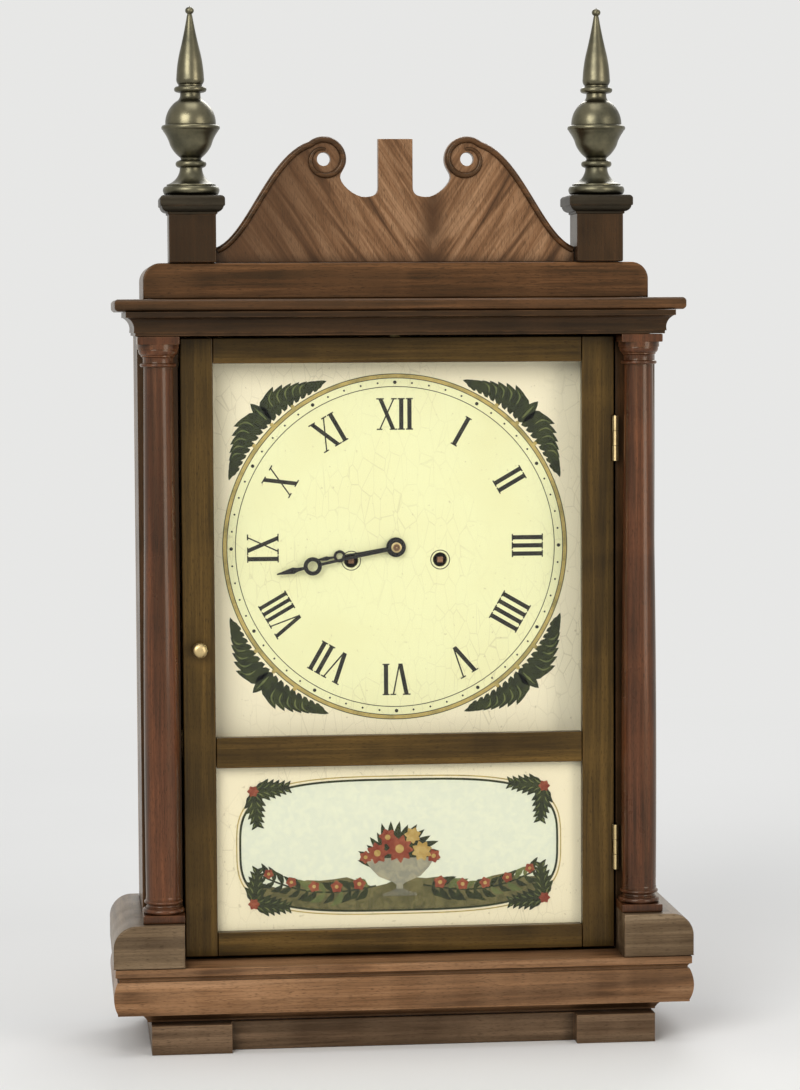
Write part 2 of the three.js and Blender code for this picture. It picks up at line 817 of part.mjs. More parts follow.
function addFinials() {
  const half = finialPlinthWidth / 2;
  const wide = half + finialCapProjection;
  const nose = finialCapHeight * noseShare;
  const shaft = slab(-half, half, -half, half, blockingTop + fit, capBottom + nose);
  const capSide = [[half, capBottom], [wide - nose, capBottom + nose], [wide, capBottom + nose * 2],
    [wide, capTop - nose], [wide - nose, capTop]];
  const outline = shapeOf([...capSide, ...mirrored(capSide)]);
  const cap = common(frontPrism(outline, -wide, wide), frontPrism(outline, -wide, wide).rotateZ(Math.PI / 2));
  const bore = rodZ(dowelRadius + fit, capTop - dowelLength - fit, capTop + overrun);
  const block = cut(join(shaft, cap), bore);
  addPair('finial_plinth', block.translate(plinthX, finialY, 0), mahogany);
  const dowel = rodZ(dowelRadius, capTop - dowelLength, capTop + overrun / 2);
  const finial = join(turned(finialProfile(), fineSides), dowel);
  addPair('finial', finial.translate(plinthX, finialY, 0), brass);
}

// Dial and the two rails behind it

function addRails() {
  const half = innerHalf - fit;
  const upperBottom = dialTop - railHeight / 2;
  const upper = slab(-half, half, railFront, railBack, upperBottom, upperBottom + railHeight);
  const headBack = buttonFront - fit;
  const headFront = headBack - studHeadThickness;
  const stud = arbor([[0, headFront], [studHeadRadius, headFront], [studHeadRadius, headBack],
    [studRadius, headBack], [studRadius, railBack], [0, railBack]], smallSides);
  piece('dial_rail_upper', join(upper, stud.translate(0, 0, buttonZ)), pine);
  const lowerBottom = dialBottom - railHeight / 2;
  const lower = slab(-half, half, railFront, railBack, lowerBottom, lowerBottom + railHeight);
  const reach = dialFront - ledgeLip;
  const ledge = slab(-dialHalf, dialHalf, reach, railBack, dialBottom - fit - ledgeHeight, dialBottom - fit);
  const lip = slab(-dialHalf, dialHalf, reach, dialFront - fit, dialBottom - fit - ledgeHeight,
    dialBottom + ledgeLip);
  piece('dial_rail_lower', join(lower, ledge, lip), pine);
}

function addDial() {
  const panel = slab(-dialHalf, dialHalf, dialFront, dialBack, dialBottom, dialTop);
  const centreHole = rodY(dialHoleRadius, dialFront - overrun, dialBack + overrun, plainSides);
  const tools = [centreHole.translate(0, 0, centreZ)];
  for (const side of [-1, 1]) {
    const hole = rodY(windingHoleRadius, dialFront - overrun, dialBack + overrun, plainSides);
    tools.push(hole.translate(side * windingSpread, 0, centreZ - windingDrop));
  }
  piece('dial', cut(panel, ...tools), cream);
}

// The button stands upright over the top edge of the dial and turns level to free it
function addTurnButton() {
  const half = buttonWidth / 2;
  const straight = buttonLength / 2 - half;
  const outline = new THREE.Shape();
  outline.moveTo(half, -straight);
  outline.lineTo(half, straight);
  outline.absarc(0, straight, half, 0, Math.PI, false);
  outline.lineTo(-half, -straight);
  outline.absarc(0, -straight, half, Math.PI, 2 * Math.PI, false);
  const bore = rodY(studRadius + fit, -overrun, buttonThickness + overrun);
  const button = cut(frontPrism(outline, 0, buttonThickness), bore);
  piece('turn_button', button.translate(0, buttonFront, buttonZ), brass);
}

// Door

const door = new THREE.Group();

// A door member with a rebate for the glass at its back: outline pairs are the full face and the lip
function addDoorFrame() {
  const full = (x0, x1, z0, z1) => slab(x0, x1, doorFront, doorBack, z0, z1);
  const rebate = (x0, x1, z0, z1) => slab(x0 - rebateWidth, x1 + rebateWidth, lipBack, doorBack + overrun,
    z0 - rebateWidth, z1 + rebateWidth);
  const openings = [rebate(-openingHalf, openingHalf, tabletBottom, tabletTop),
    rebate(-openingHalf, openingHalf, dialOpeningBottom, dialOpeningTop)];
  const rails = [['door_rail_bottom', doorBottom, tabletBottom],
    ['door_rail_middle', tabletTop, dialOpeningBottom], ['door_rail_top', dialOpeningTop, doorTop]];
  for (const [name, z0, z1] of rails) {
    piece(name, cut(full(fit - openingHalf, openingHalf - fit, z0, z1), ...openings), veneer, door);
  }
  const stile = cut(full(openingHalf, doorHalf, doorBottom, doorTop), ...openings);
  const leaves = hingeFeet().map((z) => slab(doorHalf - hingeLeafThickness - fit, doorHalf + overrun,
    doorFront - overrun, doorFront + hingeLeafDepth + fit, z - fit, z + hingeHeight + fit));
  piece('door_stile_right', cut(stile, ...leaves), veneer, door);
  const shaft = rodY(latchShaftRadius + fit, doorFront - overrun, doorBack + overrun);
  piece('door_stile_left', cut(mirrorX(stile.clone()), shaft.translate(-latchX, 0, latchZ)), veneer, door);
}

function addGlass() {
  const reach = rebateWidth - fit;
  const half = openingHalf + reach;
  const y = lipBack + fit;
  const pane = (z0, z1) => slab(-half, half, y, y + glassThickness, z0 - reach, z1 + reach);
  piece('dial_glass', pane(dialOpeningBottom, dialOpeningTop), glass, door);
  piece('tablet_glass', pane(tabletBottom, tabletTop), cream, door);
}

// A knob in front of the left stile, its shaft through the stile and a tongue behind it
function addLatch() {
  const y = doorFront - fit;
  const tongueBack = tongueFront + latchTongueThickness;
  const profile = [[0, y - knobLength], ...knobShares.map(([r, l]) => [knobRadius * r, y - knobLength * l]),
    [latchShaftRadius, y], [latchShaftRadius, tongueBack], [0, tongueBack]];
  const half = latchTongueWidth / 2;
  const tongue = slab(-half, half, tongueFront, tongueBack, half - latchTongueLength, half);
  const latch = join(arbor(profile, plainSides), tongue);
  piece('door_latch', latch.translate(-latchX, 0, latchZ), brass, door);
}

// Hinges: the case leaf holds the pin and the end knuckles, the door leaf the middle knuckle

const knuckle = hingeHeight / 3;

function barrel(radius, z0, z1) {
  return rodZ(radius, z0, z1).translate(hingeX, hingeY, 0);
}

// The room that a leaf leaves for the other leaf's knuckles
function knuckleRoom(z0, z1) {
  const reach = hingeBarrelRadius + fit;
  return slab(hingeX - reach, hingeX + reach, hingeY - overrun, hingeY + reach, z0, z1);
}

function caseLeaf() {
  const edge = caseHalf - stileWidth;
  const leaf = slab(edge, edge + hingeLeafThickness, hingeY, doorFront + hingeLeafDepth, 0, hingeHeight);
  return join(cut(leaf, knuckleRoom(knuckle, 2 * knuckle)), barrel(hingeBarrelRadius, 0, knuckle - fit / 2),
    barrel(hingeBarrelRadius, 2 * knuckle + fit / 2, hingeHeight), barrel(hingePinRadius, 0, hingeHeight));
}

function doorLeaf() {
  const leafBack = doorFront + hingeLeafDepth;
  const leaf = slab(doorHalf - hingeLeafThickness, doorHalf, hingeY, leafBack, 0, hingeHeight);
  const bottom = knuckle + fit / 2;
  const top = 2 * knuckle - fit / 2;
  const rooms = [knuckleRoom(-overrun, bottom), knuckleRoom(top, hingeHeight + overrun)];
  const solid = join(cut(leaf, ...rooms), barrel(hingeBarrelRadius, bottom, top));
  return cut(solid, barrel(hingePinRadius + fit, -overrun, hingeHeight + overrun));
}

function addHinges() {
  const names = ['lower', 'upper'];
  hingeFeet().forEach((z, i) => {
    piece(`hinge_case_leaf_${names[i]}`, caseLeaf().translate(0, 0, z), brass);
    piece(`hinge_door_leaf_${names[i]}`, doorLeaf().translate(0, 0, z), brass, door);
  });
}

// Movement

const movement = new THREE.Group();

// A toothed outline about the origin, one tooth middle at the phase angle
function gearShape(teeth, module, phase, form, bore) {
  const radius = module * teeth / 2;
  const root = radius - module * form.depthShare;
  const tip = radius + module * form.reachShare;
  const pitch = 2 * Math.PI / teeth;
  const points = [];
  for (let i = 0; i < teeth; i += 1) {
    const middle = phase + i * pitch;
    points.push([root, middle - pitch * form.footShare / 2]);
    if (form.tipShare > 0) {
      points.push([tip, middle - pitch * form.tipShare / 2]);
    }
    points.push([tip, middle + pitch * form.tipShare / 2]);
    points.push([root, middle + pitch * form.footShare / 2]);
  }
  const shape = shapeOf(points.map(([r, angle]) => [r * Math.cos(angle), r * Math.sin(angle)]));
  if (bore) {
    shape.holes.push(new THREE.Path(ring(bore, plainSides).getPoints().reverse()));
  }
  return shape;
}

function gear(teeth, module, phase, form, y0, y1, bore = 0) {
  return frontPrism(gearShape(teeth, module, phase, form, bore), y0, y1);
}

// The phase that puts the second gear in mesh with the first
function meshPhase(from, to, teethFrom, teethTo, phase) {
  const line = Math.atan2(to[1] - from[1], to[0] - from[0]);
  return line + Math.PI + Math.PI / teethTo - (phase - line) * teethFrom / teethTo;
}

// An arbor between the plates with a thin pivot in each
function plateArbor(radius) {
  const y0 = layersFront + endPlay;
  const y1 = layersBack - endPlay;
  return [[0, y0 - pivotLength], [pivotRadius, y0 - pivotLength], [pivotRadius, y0], [radius, y0],
    [radius, y1], [pivotRadius, y1], [pivotRadius, y1 + pivotLength], [0, y1 + pivotLength]];
}

function at(geometry, [x, z]) {
  return geometry.translate(x, 0, z);
}

function addPlates() {
  const left = -plateHalfWidth;
  const bottom = centreZ - plateBottom;
  const top = centreZ + plateTop;
  const corners = [];
  for (const x of [left + pillarInset, plateHalfWidth - pillarInset]) {
    corners.push([x, bottom + pillarInset], [x, top - pillarInset]);
  }
  const hole = (radius, place, y) => at(rodY(radius + fit, y - overrun, y + plateThickness + overrun), place);
  const pivots = [places.third, places.pinWheel, places.fly, places.hammer];
  const frontHoles = [
    ...pivots.map((place) => hole(pivotRadius, place, plateFront)),
    ...[places.centre, places.escape].map((place) => hole(arborRadius, place, plateFront)),
    ...[places.timeDrum, places.strikeDrum].map((place) => hole(windingArborRadius, place, plateFront)),
    ...corners.map((place) => hole(pillarRadius * pillarPinShare, place, plateFront))];
  const frontBoard = slab(left, plateHalfWidth, plateFront, layersFront, bottom, top);
  const vergeFront = plateFront - escapeStandoff - vergeThickness;
  const hourFront = plateFront - hourStandoff - motionThickness;
  const vergeStud = at(rodY(studRadius, vergeFront, layersFront), places.verge);
  const minuteStud = at(rodY(studRadius, hourFront, layersFront), places.minute);
  piece('front_plate', join(cut(frontBoard, ...frontHoles), vergeStud, minuteStud, suspensionCock()), oak,
    movement);
  const backHoles = [...pivots, places.centre, places.escape, places.timeDrum, places.strikeDrum]
    .map((place) => hole(pivotRadius, place, layersBack));
  const backBoard = slab(left, plateHalfWidth, layersBack, plateBack, bottom, top);
  const pillar = arbor([[0, plateFront], [pillarRadius * pillarPinShare, plateFront],
    [pillarRadius * pillarPinShare, layersFront + fit], [pillarRadius, layersFront + fit],
    [pillarRadius, boardFront - fit], [0, boardFront - fit]], smallSides);
  const pillars = corners.map((place) => at(pillar.clone(), place));
  piece('back_plate', join(cut(backBoard, ...backHoles), ...pillars), oak, movement);
}

function layer(offset) {
  return layersFront + offset;
}

const phases = {};

function addGoingTrain() {
  phases.centreWheel = 0;
  phases.thirdPinion = meshPhase(places.centre, places.third, centreTeeth, thirdLeaves, phases.centreWheel);
  phases.escapePinion = meshPhase(places.third, places.escape, thirdTeeth, escapeLeaves, phases.thirdPinion);
  phases.greatWheel = meshPhase(places.centre, places.timeDrum, greatPinionLeaves, greatTeeth, 0);
  const wheelY = layer(centreLayer);
  const nutBack = minuteHandFront - fit;
  const profile = [[0, nutBack - handNutThickness], [handNutRadius, nutBack - handNutThickness],
    [handNutRadius, nutBack], [pivotRadius, nutBack], [pivotRadius, plateFront], [arborRadius, plateFront],
    [arborRadius, layersBack - endPlay], [pivotRadius, layersBack - endPlay],
    [pivotRadius, layersBack - endPlay + pivotLength], [0, layersBack - endPlay + pivotLength]];
  const greatY = layer(greatLayer);
  piece('centre_wheel', at(join(arbor(profile, smallSides),
    gear(centreTeeth, centreModule, phases.centreWheel, wheelForm, wheelY, wheelY + wheelThickness),
    gear(greatPinionLeaves, greatModule, 0, pinionForm, greatY - pinionOverlap,
      greatY + greatWheelThickness + pinionOverlap)), places.centre), cherry, movement);
  const thirdY = layer(thirdLayer);
  piece('third_wheel', at(join(arbor(plateArbor(arborRadius), smallSides),
    gear(thirdTeeth, thirdModule, phases.thirdPinion, wheelForm, thirdY, thirdY + wheelThickness),
    gear(thirdLeaves, centreModule, phases.thirdPinion, pinionForm, wheelY - pinionOverlap,
      wheelY + wheelThickness + pinionOverlap)), places.third), cherry, movement);
  const escapeY = plateFront - escapeStandoff;
  const escapeArbor = [[0, escapeY - wheelThickness], [arborRadius, escapeY - wheelThickness],
    [arborRadius, layersBack - endPlay], [pivotRadius, layersBack - endPlay],
    [pivotRadius, layersBack - endPlay + pivotLength], [0, layersBack - endPlay + pivotLength]];
  piece('escape_wheel', at(join(arbor(escapeArbor, smallSides),
    frontPrism(escapeShape(), escapeY - wheelThickness, escapeY),
    gear(escapeLeaves, thirdModule, phases.escapePinion, pinionForm, thirdY - pinionOverlap,
      thirdY + wheelThickness + pinionOverlap)), places.escape), brass, movement);
  const greatWheel = gear(greatTeeth, greatModule, phases.greatWheel, wheelForm, greatY,
    greatY + greatWheelThickness, windingArborRadius + fit);
  piece('time_great_wheel', at(greatWheel, places.timeDrum), cherry, movement);
}

// Saw teeth with a long back and an undercut face
function escapeShape() {
  const points = [];
  const pitch = 2 * Math.PI / escapeTeeth;
  for (let i = 0; i < escapeTeeth; i += 1) {
    points.push([escapeRadius * escapeRootShare, i * pitch], [escapeRadius, (i + escapeLeanShare) * pitch]);
  }
  return shapeOf(points.map(([r, angle]) => [r * Math.cos(angle), r * Math.sin(angle)]));
}

function addDrums() {
  const y0 = layer(drumLayer);
  const y1 = y0 + drumLength;
  const half = windingSquare / 2;
  const barrelFront = y0 + flangeThickness;
  const barrelBack = y1 - flangeThickness;
  const profile = [[0, plateFront], [windingArborRadius, plateFront], [windingArborRadius, y0],
    [flangeRadius, y0], [flangeRadius, barrelFront], [drumRadius, barrelFront], [drumRadius, barrelBack],
    [flangeRadius, barrelBack], [flangeRadius, y1], [windingArborRadius, y1],
    [windingArborRadius, layersBack - endPlay], [pivotRadius, layersBack - endPlay],
    [pivotRadius, layersBack - endPlay + pivotLength], [0, layersBack - endPlay + pivotLength]];
  const square = slab(-half, half, dialBack - windingReach, plateFront + overrun, -half, half);
  const drum = join(arbor(profile, plainSides), square);
  piece('time_drum', at(drum.clone(), places.timeDrum), cherry, movement);
  piece('strike_drum', at(drum.clone(), places.strikeDrum), cherry, movement);
}

function addStrikeTrain() {
  const greatY = layer(greatLayer);
  phases.pinPinion = meshPhase(places.strikeDrum, places.pinWheel, greatTeeth, greatPinionLeaves, 0);
  phases.flyPinion = meshPhase(places.pinWheel, places.fly, pinWheelTeeth, flyLeaves, phases.pinPinion);
  const greatWheel = gear(greatTeeth, strikeModule, 0, wheelForm, greatY, greatY + greatWheelThickness,
    windingArborRadius + fit);
  piece('strike_great_wheel', at(greatWheel, places.strikeDrum), cherry, movement);
  const y0 = layer(pinLayer);
  const y1 = y0 + wheelThickness;
  const pins = [];
  for (let i = 0; i < strikePinCount; i += 1) {
    const pin = rodY(strikePinRadius, y0, y1 + strikePinLength, pinSides);
    const turn = (2 * i + 1) * Math.PI / strikePinCount;
    pins.push(at(pin, polar([0, 0], strikePinCircle, THREE.MathUtils.radToDeg(turn))));
  }
  piece('pin_wheel', at(join(arbor(plateArbor(arborRadius), smallSides),
    gear(pinWheelTeeth, pinWheelModule, phases.pinPinion, wheelForm, y0, y1),
    gear(greatPinionLeaves, strikeModule, phases.pinPinion, pinionForm, greatY - pinionOverlap,
      greatY + greatWheelThickness + pinionOverlap), ...pins), places.pinWheel), cherry, movement);
  const vaneY = y1 + strikePinLength + endPlay;
  const vane = slab(-flyReach, flyReach, vaneY, vaneY + flyLength, -flyThickness / 2, flyThickness / 2);
  piece('fly', at(join(arbor(plateArbor(arborRadius), smallSides), vane,
    gear(flyLeaves, pinWheelModule, phases.flyPinion, pinionForm, y0 - pinionOverlap, y1 + pinionOverlap)),
  places.fly), cherry, movement);
}

// The hammer: a turning arbor, a wire down to the head and a tail up beside the lifting pins
function addHammer() {
  const [x, z] = places.hammer;
  const aside = strikePinCircle + strikePinRadius + hammerWire + 2 * endPlay;
  const tailTip = [places.pinWheel[0] - aside, places.pinWheel[1] - strikePinCircle * tailDropShare];
  const tail = [new THREE.Vector3(x, tailY, z), new THREE.Vector3(tailTip[0], tailY, tailTip[1])];
  const wire = [new THREE.Vector3(x, hammerY, z), new THREE.Vector3(hammerX, hammerY, bellZ)];
  const half = hammerHeadLength / 2;
  const head = rodX(hammerHeadRadius, -half, half).translate(hammerX, hammerY, bellZ);
  const solid = join(at(arbor(plateArbor(arborRadius), smallSides), places.hammer),
    tube(tail, hammerWire, pinSides), tube(wire, hammerWire, pinSides), head);
  piece('hammer', solid, steel, movement);
}

// The bell opens to the front, on a post that is screwed into the backboard
function addBell() {
  const crown = boardFront - bellPostLength;
  const mouth = crown - bellDepth;
  const outer = [];
  const inner = [];
  for (let i = 0; i < bellSteps; i += 1) {
    const angle = (i / bellSteps) * Math.PI / 2;
    const [across, along] = [Math.cos(angle), Math.sin(angle)];
    outer.push([bellRadius * across, mouth + bellDepth * along]);
    inner.unshift([(bellRadius - bellWall) * across, mouth + (bellDepth - bellWall) * along]);
  }
  const shell = arbor([[0, crown - bellWall], ...inner, ...outer, [0, crown]], fineSides);
  const nutBack = crown - bellWall;
  const nutFront = nutBack - bellNutThickness;
  const post = arbor([[0, nutFront], [bellNutRadius, nutFront], [bellNutRadius, nutBack],
    [bellScrewRadius, nutBack], [bellScrewRadius, crown], [bellPostRadius, crown],
    [bellPostRadius, boardFront - fit], [bellScrewRadius, boardFront - fit], [bellScrewRadius, back - fit],
    [0, back - fit]], smallSides);
  piece('bell', join(shell, post).translate(bellX, 0, bellZ), brass, movement);
}

// Escapement

function addVerge() {
  const y1 = plateFront - escapeStandoff;
  const y0 = y1 - vergeThickness;
  const half = palletWidth / 2;
  const inside = vergeReach - half;
  const tipZ = Math.sqrt((escapeRadius + palletClearance) ** 2 - inside ** 2) - vergeRise;
  const beam = slab(-vergeReach - half, vergeReach + half, y0, y1, -half, half);
  const leg = slab(inside, vergeReach + half, y0, y1, tipZ, half);
  const boss = rodY(vergeBoss, y0, y1);
  const bore = rodY(studRadius + fit, y0 - overrun, y1 + overrun);
  const strip = cut(join(beam, leg, mirrorX(leg), boss), bore);
  piece('verge', at(join(strip, ...crutch(y1)), places.verge), brass, movement);
}

// The crutch: a wire down behind the pendulum rod to a fork that holds the rod
function crutch(stripBack) {
  const half = crutchWidth / 2;
  const wireY = pendulumY + rodRadius + forkGap / 2;
  const spread = rodRadius + forkGap / 2;
  const foot = -crutchDrop;
  const knee = slab(-half, half, wireY, stripBack, -vergeBoss - crutchWidth, -vergeBoss + half);
  const wire = slab(-half, half, wireY, wireY + crutchWidth, foot - half, -vergeBoss + half);
  const bridge = slab(-spread - crutchWidth, spread + crutchWidth, wireY, wireY + crutchWidth, foot - half,
    foot + half);
  const prong = slab(spread, spread + crutchWidth, pendulumY - spread, wireY + crutchWidth, foot - half,
    foot + half);
  return [knee, wire, bridge, prong, mirrorX(prong)];
}

// The cock stands out of the front plate, slit for the spring
function suspensionCock() {
  const half = cockWidth / 2;
  const top = cockRise + cockHeight;
  const y0 = pendulumY - springWidth;
  const block = slab(-half, half, y0, layersFront, cockRise, top);
  const slit = slab(-cockSlit / 2, cockSlit / 2, y0 - overrun, pendulumY + springWidth, cockRise - overrun,
    top + overrun);
  return at(cut(block, slit), places.verge);
}

// The pendulum hangs by a strip spring from a cross pin on the cock
function addPendulum() {
  const hookZ = cockRise + cockHeight + fit + springThickness;
  const springFoot = hookZ - springLength;
  const half = springThickness / 2;
  const spring = slab(-half, half, pendulumY - springWidth / 2, pendulumY + springWidth / 2,
    springFoot - overrun, hookZ);
  const cross = rodX(springThickness, -cockWidth / 2, cockWidth / 2, pinSides).translate(0, pendulumY, hookZ);
  const nutTop = -pendulumDrop - bobRadius - fit;
  const nutFoot = nutTop - ratingNutHeight;
  const rod = rodZ(rodRadius, nutFoot - ratingNutHeight, springFoot, smallSides).translate(0, pendulumY, 0);
  const nut = rodZ(ratingNutRadius, nutFoot, nutTop).translate(0, pendulumY, 0);
  piece('pendulum_rod', at(join(spring, cross, rod, nut), places.verge), brass, movement);
  const side = bobShares.map(([r, y]) => [bobRadius * r, bobThickness * y / 2]);
  const face = side.map(([r, y]) => [r, -y]);
  const lens = arbor([[0, -bobThickness / 2], ...face, ...side.reverse(), [0, bobThickness / 2]], fineSides);
  const bore = rodZ(rodRadius + fit, -bobRadius - overrun, bobRadius + overrun);
  piece('pendulum_bob', at(cut(lens, bore).translate(0, pendulumY, -pendulumDrop), places.verge), brass,
    movement);
}

// Motion work and hands

function addMotionWork() {
  const y1 = plateFront - motionStandoff;
  const y0 = y1 - motionThickness;
  const hourY1 = plateFront - hourStandoff;
  const hourY0 = hourY1 - motionThickness;
  const minutePhase = meshPhase(places.centre, places.minute, cannonLeaves, minuteTeeth, 0);
  const hourPhase = meshPhase(places.minute, places.centre, minuteLeaves, hourTeeth, minutePhase);
  const bore = pivotRadius + fit;
  const pipeTip = minuteHandFront;
  const cannon = join(rodY(minutePipeRadius, pipeTip, y1, smallSides),
    gear(cannonLeaves, motionModule, 0, pinionForm, y0, y1));
  piece('cannon_pinion', at(cut(cannon, rodY(bore, pipeTip - overrun, y1 + overrun)), places.centre), cherry,
    movement);
  const shaftRadius = motionModule * (minuteLeaves / 2 - pinionForm.depthShare) + fit;
  const minute = join(gear(minuteTeeth, motionModule, minutePhase, wheelForm, y0, y1),
    rodY(shaftRadius, hourY0, y1),
    gear(minuteLeaves, motionModule, minutePhase, pinionForm, hourY0, hourY1));
  const studBore = rodY(studRadius + fit, hourY0 - overrun, y1 + overrun);
  piece('minute_wheel', at(cut(minute, studBore), places.minute), cherry, movement);
  const hour = join(gear(hourTeeth, motionModule, hourPhase, wheelForm, hourY0, hourY1),
    rodY(hourPipeRadius, hourHandFront, hourY1, plainSides));
  piece('hour_wheel', at(cut(hour, rodY(minutePipeRadius + fit, hourHandFront - overrun, hourY1 + overrun)),
    places.centre), cherry, movement);
}

// A pointed hand with a ring near its tip, drawn upright and then turned to its hour
function addHand(name, length, hubRadius, bore, y0, degrees) {
  const half = length * handWidthShare;
  const ringRadius = length * handRingShare;
  const ringZ = length * handRingPlaceShare;
  const hubAngle = Math.asin(half / hubRadius);
  const ringAngle = Math.asin(half / ringRadius);
  const shape = new THREE.Shape();
  const quarter = Math.PI / 2;
  shape.absarc(0, 0, hubRadius, quarter + hubAngle, 5 * quarter - hubAngle, false);
  shape.absarc(0, ringZ, ringRadius, ringAngle - quarter, quarter - ringAngle, false);
  shape.lineTo(0, length);
  shape.absarc(0, ringZ, ringRadius, quarter + ringAngle, 3 * quarter - ringAngle, false);
  const eye = new THREE.Path();
  eye.absarc(0, ringZ, ringRadius * handEyeShare, 0, 2 * Math.PI, true);
  shape.holes.push(new THREE.Path(ring(bore, plainSides).getPoints().reverse()), eye);
  const hand = frontPrism(shape, y0, y0 + handThickness).rotateY(THREE.MathUtils.degToRad(degrees));
  piece(name, at(hand, places.centre), black, movement);
}

function addHands() {
  addHand('hour_hand', hourHandLength, hourHubRadius, hourPipeRadius + fit, hourHandFront, hourAngle);
  addHand('minute_hand', minuteHandLength, minuteHubRadius, minutePipeRadius + fit, minuteHandFront,
    minuteAngle);
}

// Weights, pulleys and cords

function addPulley(name, side) {
  const half = pulleyThickness / 2;
  const end = pulleyAxleLength / 2;
  const profile = [[0, -end], [pulleyAxleRadius, -end], [pulleyAxleRadius, -half], [pulleyRadius, -half],
    [pulleyRadius - pulleyGroove, 0], [pulleyRadius, half], [pulleyAxleRadius, half],
    [pulleyAxleRadius, end], [0, end]];
  piece(name, arbor(profile, plainSides).translate(side * pulleySpread, drumY, pulleyZ), brass);
}

function addWeight(name, side) {
  const nose = weightRadius * weightNoseShare;
  const end = weightRadius - nose;
  const body = turned([[0, weightBottom], [end, weightBottom], [weightRadius, weightBottom + nose],
    [weightRadius, weightTop - nose], [end, weightTop], [0, weightTop]], plainSides);
  const eye = new THREE.TorusGeometry(hookRadius, hookWire, pinSides, 2 * pinSides).rotateX(Math.PI / 2);
  eye.translate(0, 0, weightTop + hookRadius);
  piece(name, join(body, eye).translate(side * weightX, drumY, 0), iron);
}

// The cord leaves the outer side of its drum, crosses to the inner side of the pulley,
// goes over it and hangs to the weight
function cordPath() {
  const [drumX, drumZ] = places.timeDrum;
  const run = Math.hypot(pulleySpread - drumX, pulleyZ - drumZ);
  const line = Math.atan2(pulleyZ - drumZ, pulleySpread - drumX);
  const slope = line + Math.asin((drumReach + pulleyReach) / run);
  const normal = [-Math.sin(slope), Math.cos(slope)];
  const points = [[drumX - drumReach * normal[0], drumZ - drumReach * normal[1]]];
  const start = Math.atan2(normal[1], normal[0]);
  for (let i = 0; i <= cordArcSteps; i += 1) {
    const angle = start * (1 - i / cordArcSteps);
    points.push([pulleySpread + pulleyReach * Math.cos(angle), pulleyZ + pulleyReach * Math.sin(angle)]);
  }
  points.push([weightX, cordFoot]);
  return points.map(([x, z]) => new THREE.Vector3(x, drumY, z));
}

function addCord(name, side) {
  const cord = tube(cordPath(), cordRadius, cordSides);
  piece(name, side < 0 ? mirrorX(cord) : cord, hemp);
}

addPlinth();
addBaseMoulding();
addPedestals();
addSides();
addBackboard();
addColumns();
addBedMoulding();
addCorniceBoard();
addBlockingCourse();
addCrest();
addFinials();
addRails();
addDial();
addTurnButton();
addDoorFrame();
addGlass();
addLatch();
addHinges();
group.add(door);
addPlates();
addGoingTrain();
addDrums();
addStrikeTrain();
addHammer();
addBell();
addVerge();
addPendulum();
addMotionWork();
addHands();
group.add(movement);
addPulley('time_pulley', 1);
addPulley('strike_pulley', -1);
addWeight('time_weight', 1);
addWeight('strike_weight', -1);
addCord('time_cord', 1);
addCord('strike_cord', -1);

export default group;
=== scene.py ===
# Looks of a pillar-and-scroll shelf clock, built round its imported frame.
# Shapes are in millimetres until mesh_from, and camera, floor and lamps are in metres.
# +Z is up, the front faces -Y and +X is the viewer's right.
import math
import random

import bmesh
import bpy
from mathutils import Matrix, Vector


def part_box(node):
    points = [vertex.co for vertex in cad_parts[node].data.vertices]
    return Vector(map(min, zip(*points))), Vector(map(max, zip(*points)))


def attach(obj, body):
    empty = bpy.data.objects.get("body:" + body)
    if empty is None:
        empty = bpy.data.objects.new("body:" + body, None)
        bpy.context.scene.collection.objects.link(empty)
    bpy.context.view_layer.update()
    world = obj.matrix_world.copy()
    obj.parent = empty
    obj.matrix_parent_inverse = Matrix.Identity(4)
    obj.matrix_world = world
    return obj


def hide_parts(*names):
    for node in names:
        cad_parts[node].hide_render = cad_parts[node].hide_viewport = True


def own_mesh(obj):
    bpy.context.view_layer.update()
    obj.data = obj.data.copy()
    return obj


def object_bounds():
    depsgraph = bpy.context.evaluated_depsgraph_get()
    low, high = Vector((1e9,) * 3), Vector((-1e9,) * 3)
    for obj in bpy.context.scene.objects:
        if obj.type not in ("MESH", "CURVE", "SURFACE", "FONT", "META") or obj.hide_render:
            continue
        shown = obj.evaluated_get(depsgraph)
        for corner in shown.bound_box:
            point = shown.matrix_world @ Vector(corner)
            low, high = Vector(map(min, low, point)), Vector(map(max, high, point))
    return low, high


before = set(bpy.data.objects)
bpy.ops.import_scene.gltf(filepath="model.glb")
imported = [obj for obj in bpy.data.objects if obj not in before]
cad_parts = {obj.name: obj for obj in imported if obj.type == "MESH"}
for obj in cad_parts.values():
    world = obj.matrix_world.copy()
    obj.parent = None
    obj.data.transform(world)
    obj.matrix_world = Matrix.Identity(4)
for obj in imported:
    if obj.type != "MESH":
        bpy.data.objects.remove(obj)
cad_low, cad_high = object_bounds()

MM = 0.001
FULL_TURN = 2 * math.pi
QUARTER_TURN = math.pi / 2
SIDES = {"right": 1, "left": -1}
SCENE = bpy.context.scene

# Camera: the photograph's viewing angle, solved on its 800 by 1090 pixels
PHOTO_HEIGHT = 1090
FOCAL_PIXELS = 3280.56
SENSOR_WIDTH = 36
VIEW_AZIMUTH = math.radians(-6)
VIEW_ELEVATION = math.radians(3.5)
VIEW_DISTANCE = 2.5
VIEW_HEIGHT = 390 * MM
AIM_RIGHT = 4.3 * MM
AIM_DOWN = 15.1 * MM
VIEW_ROLL = math.radians(-0.3)


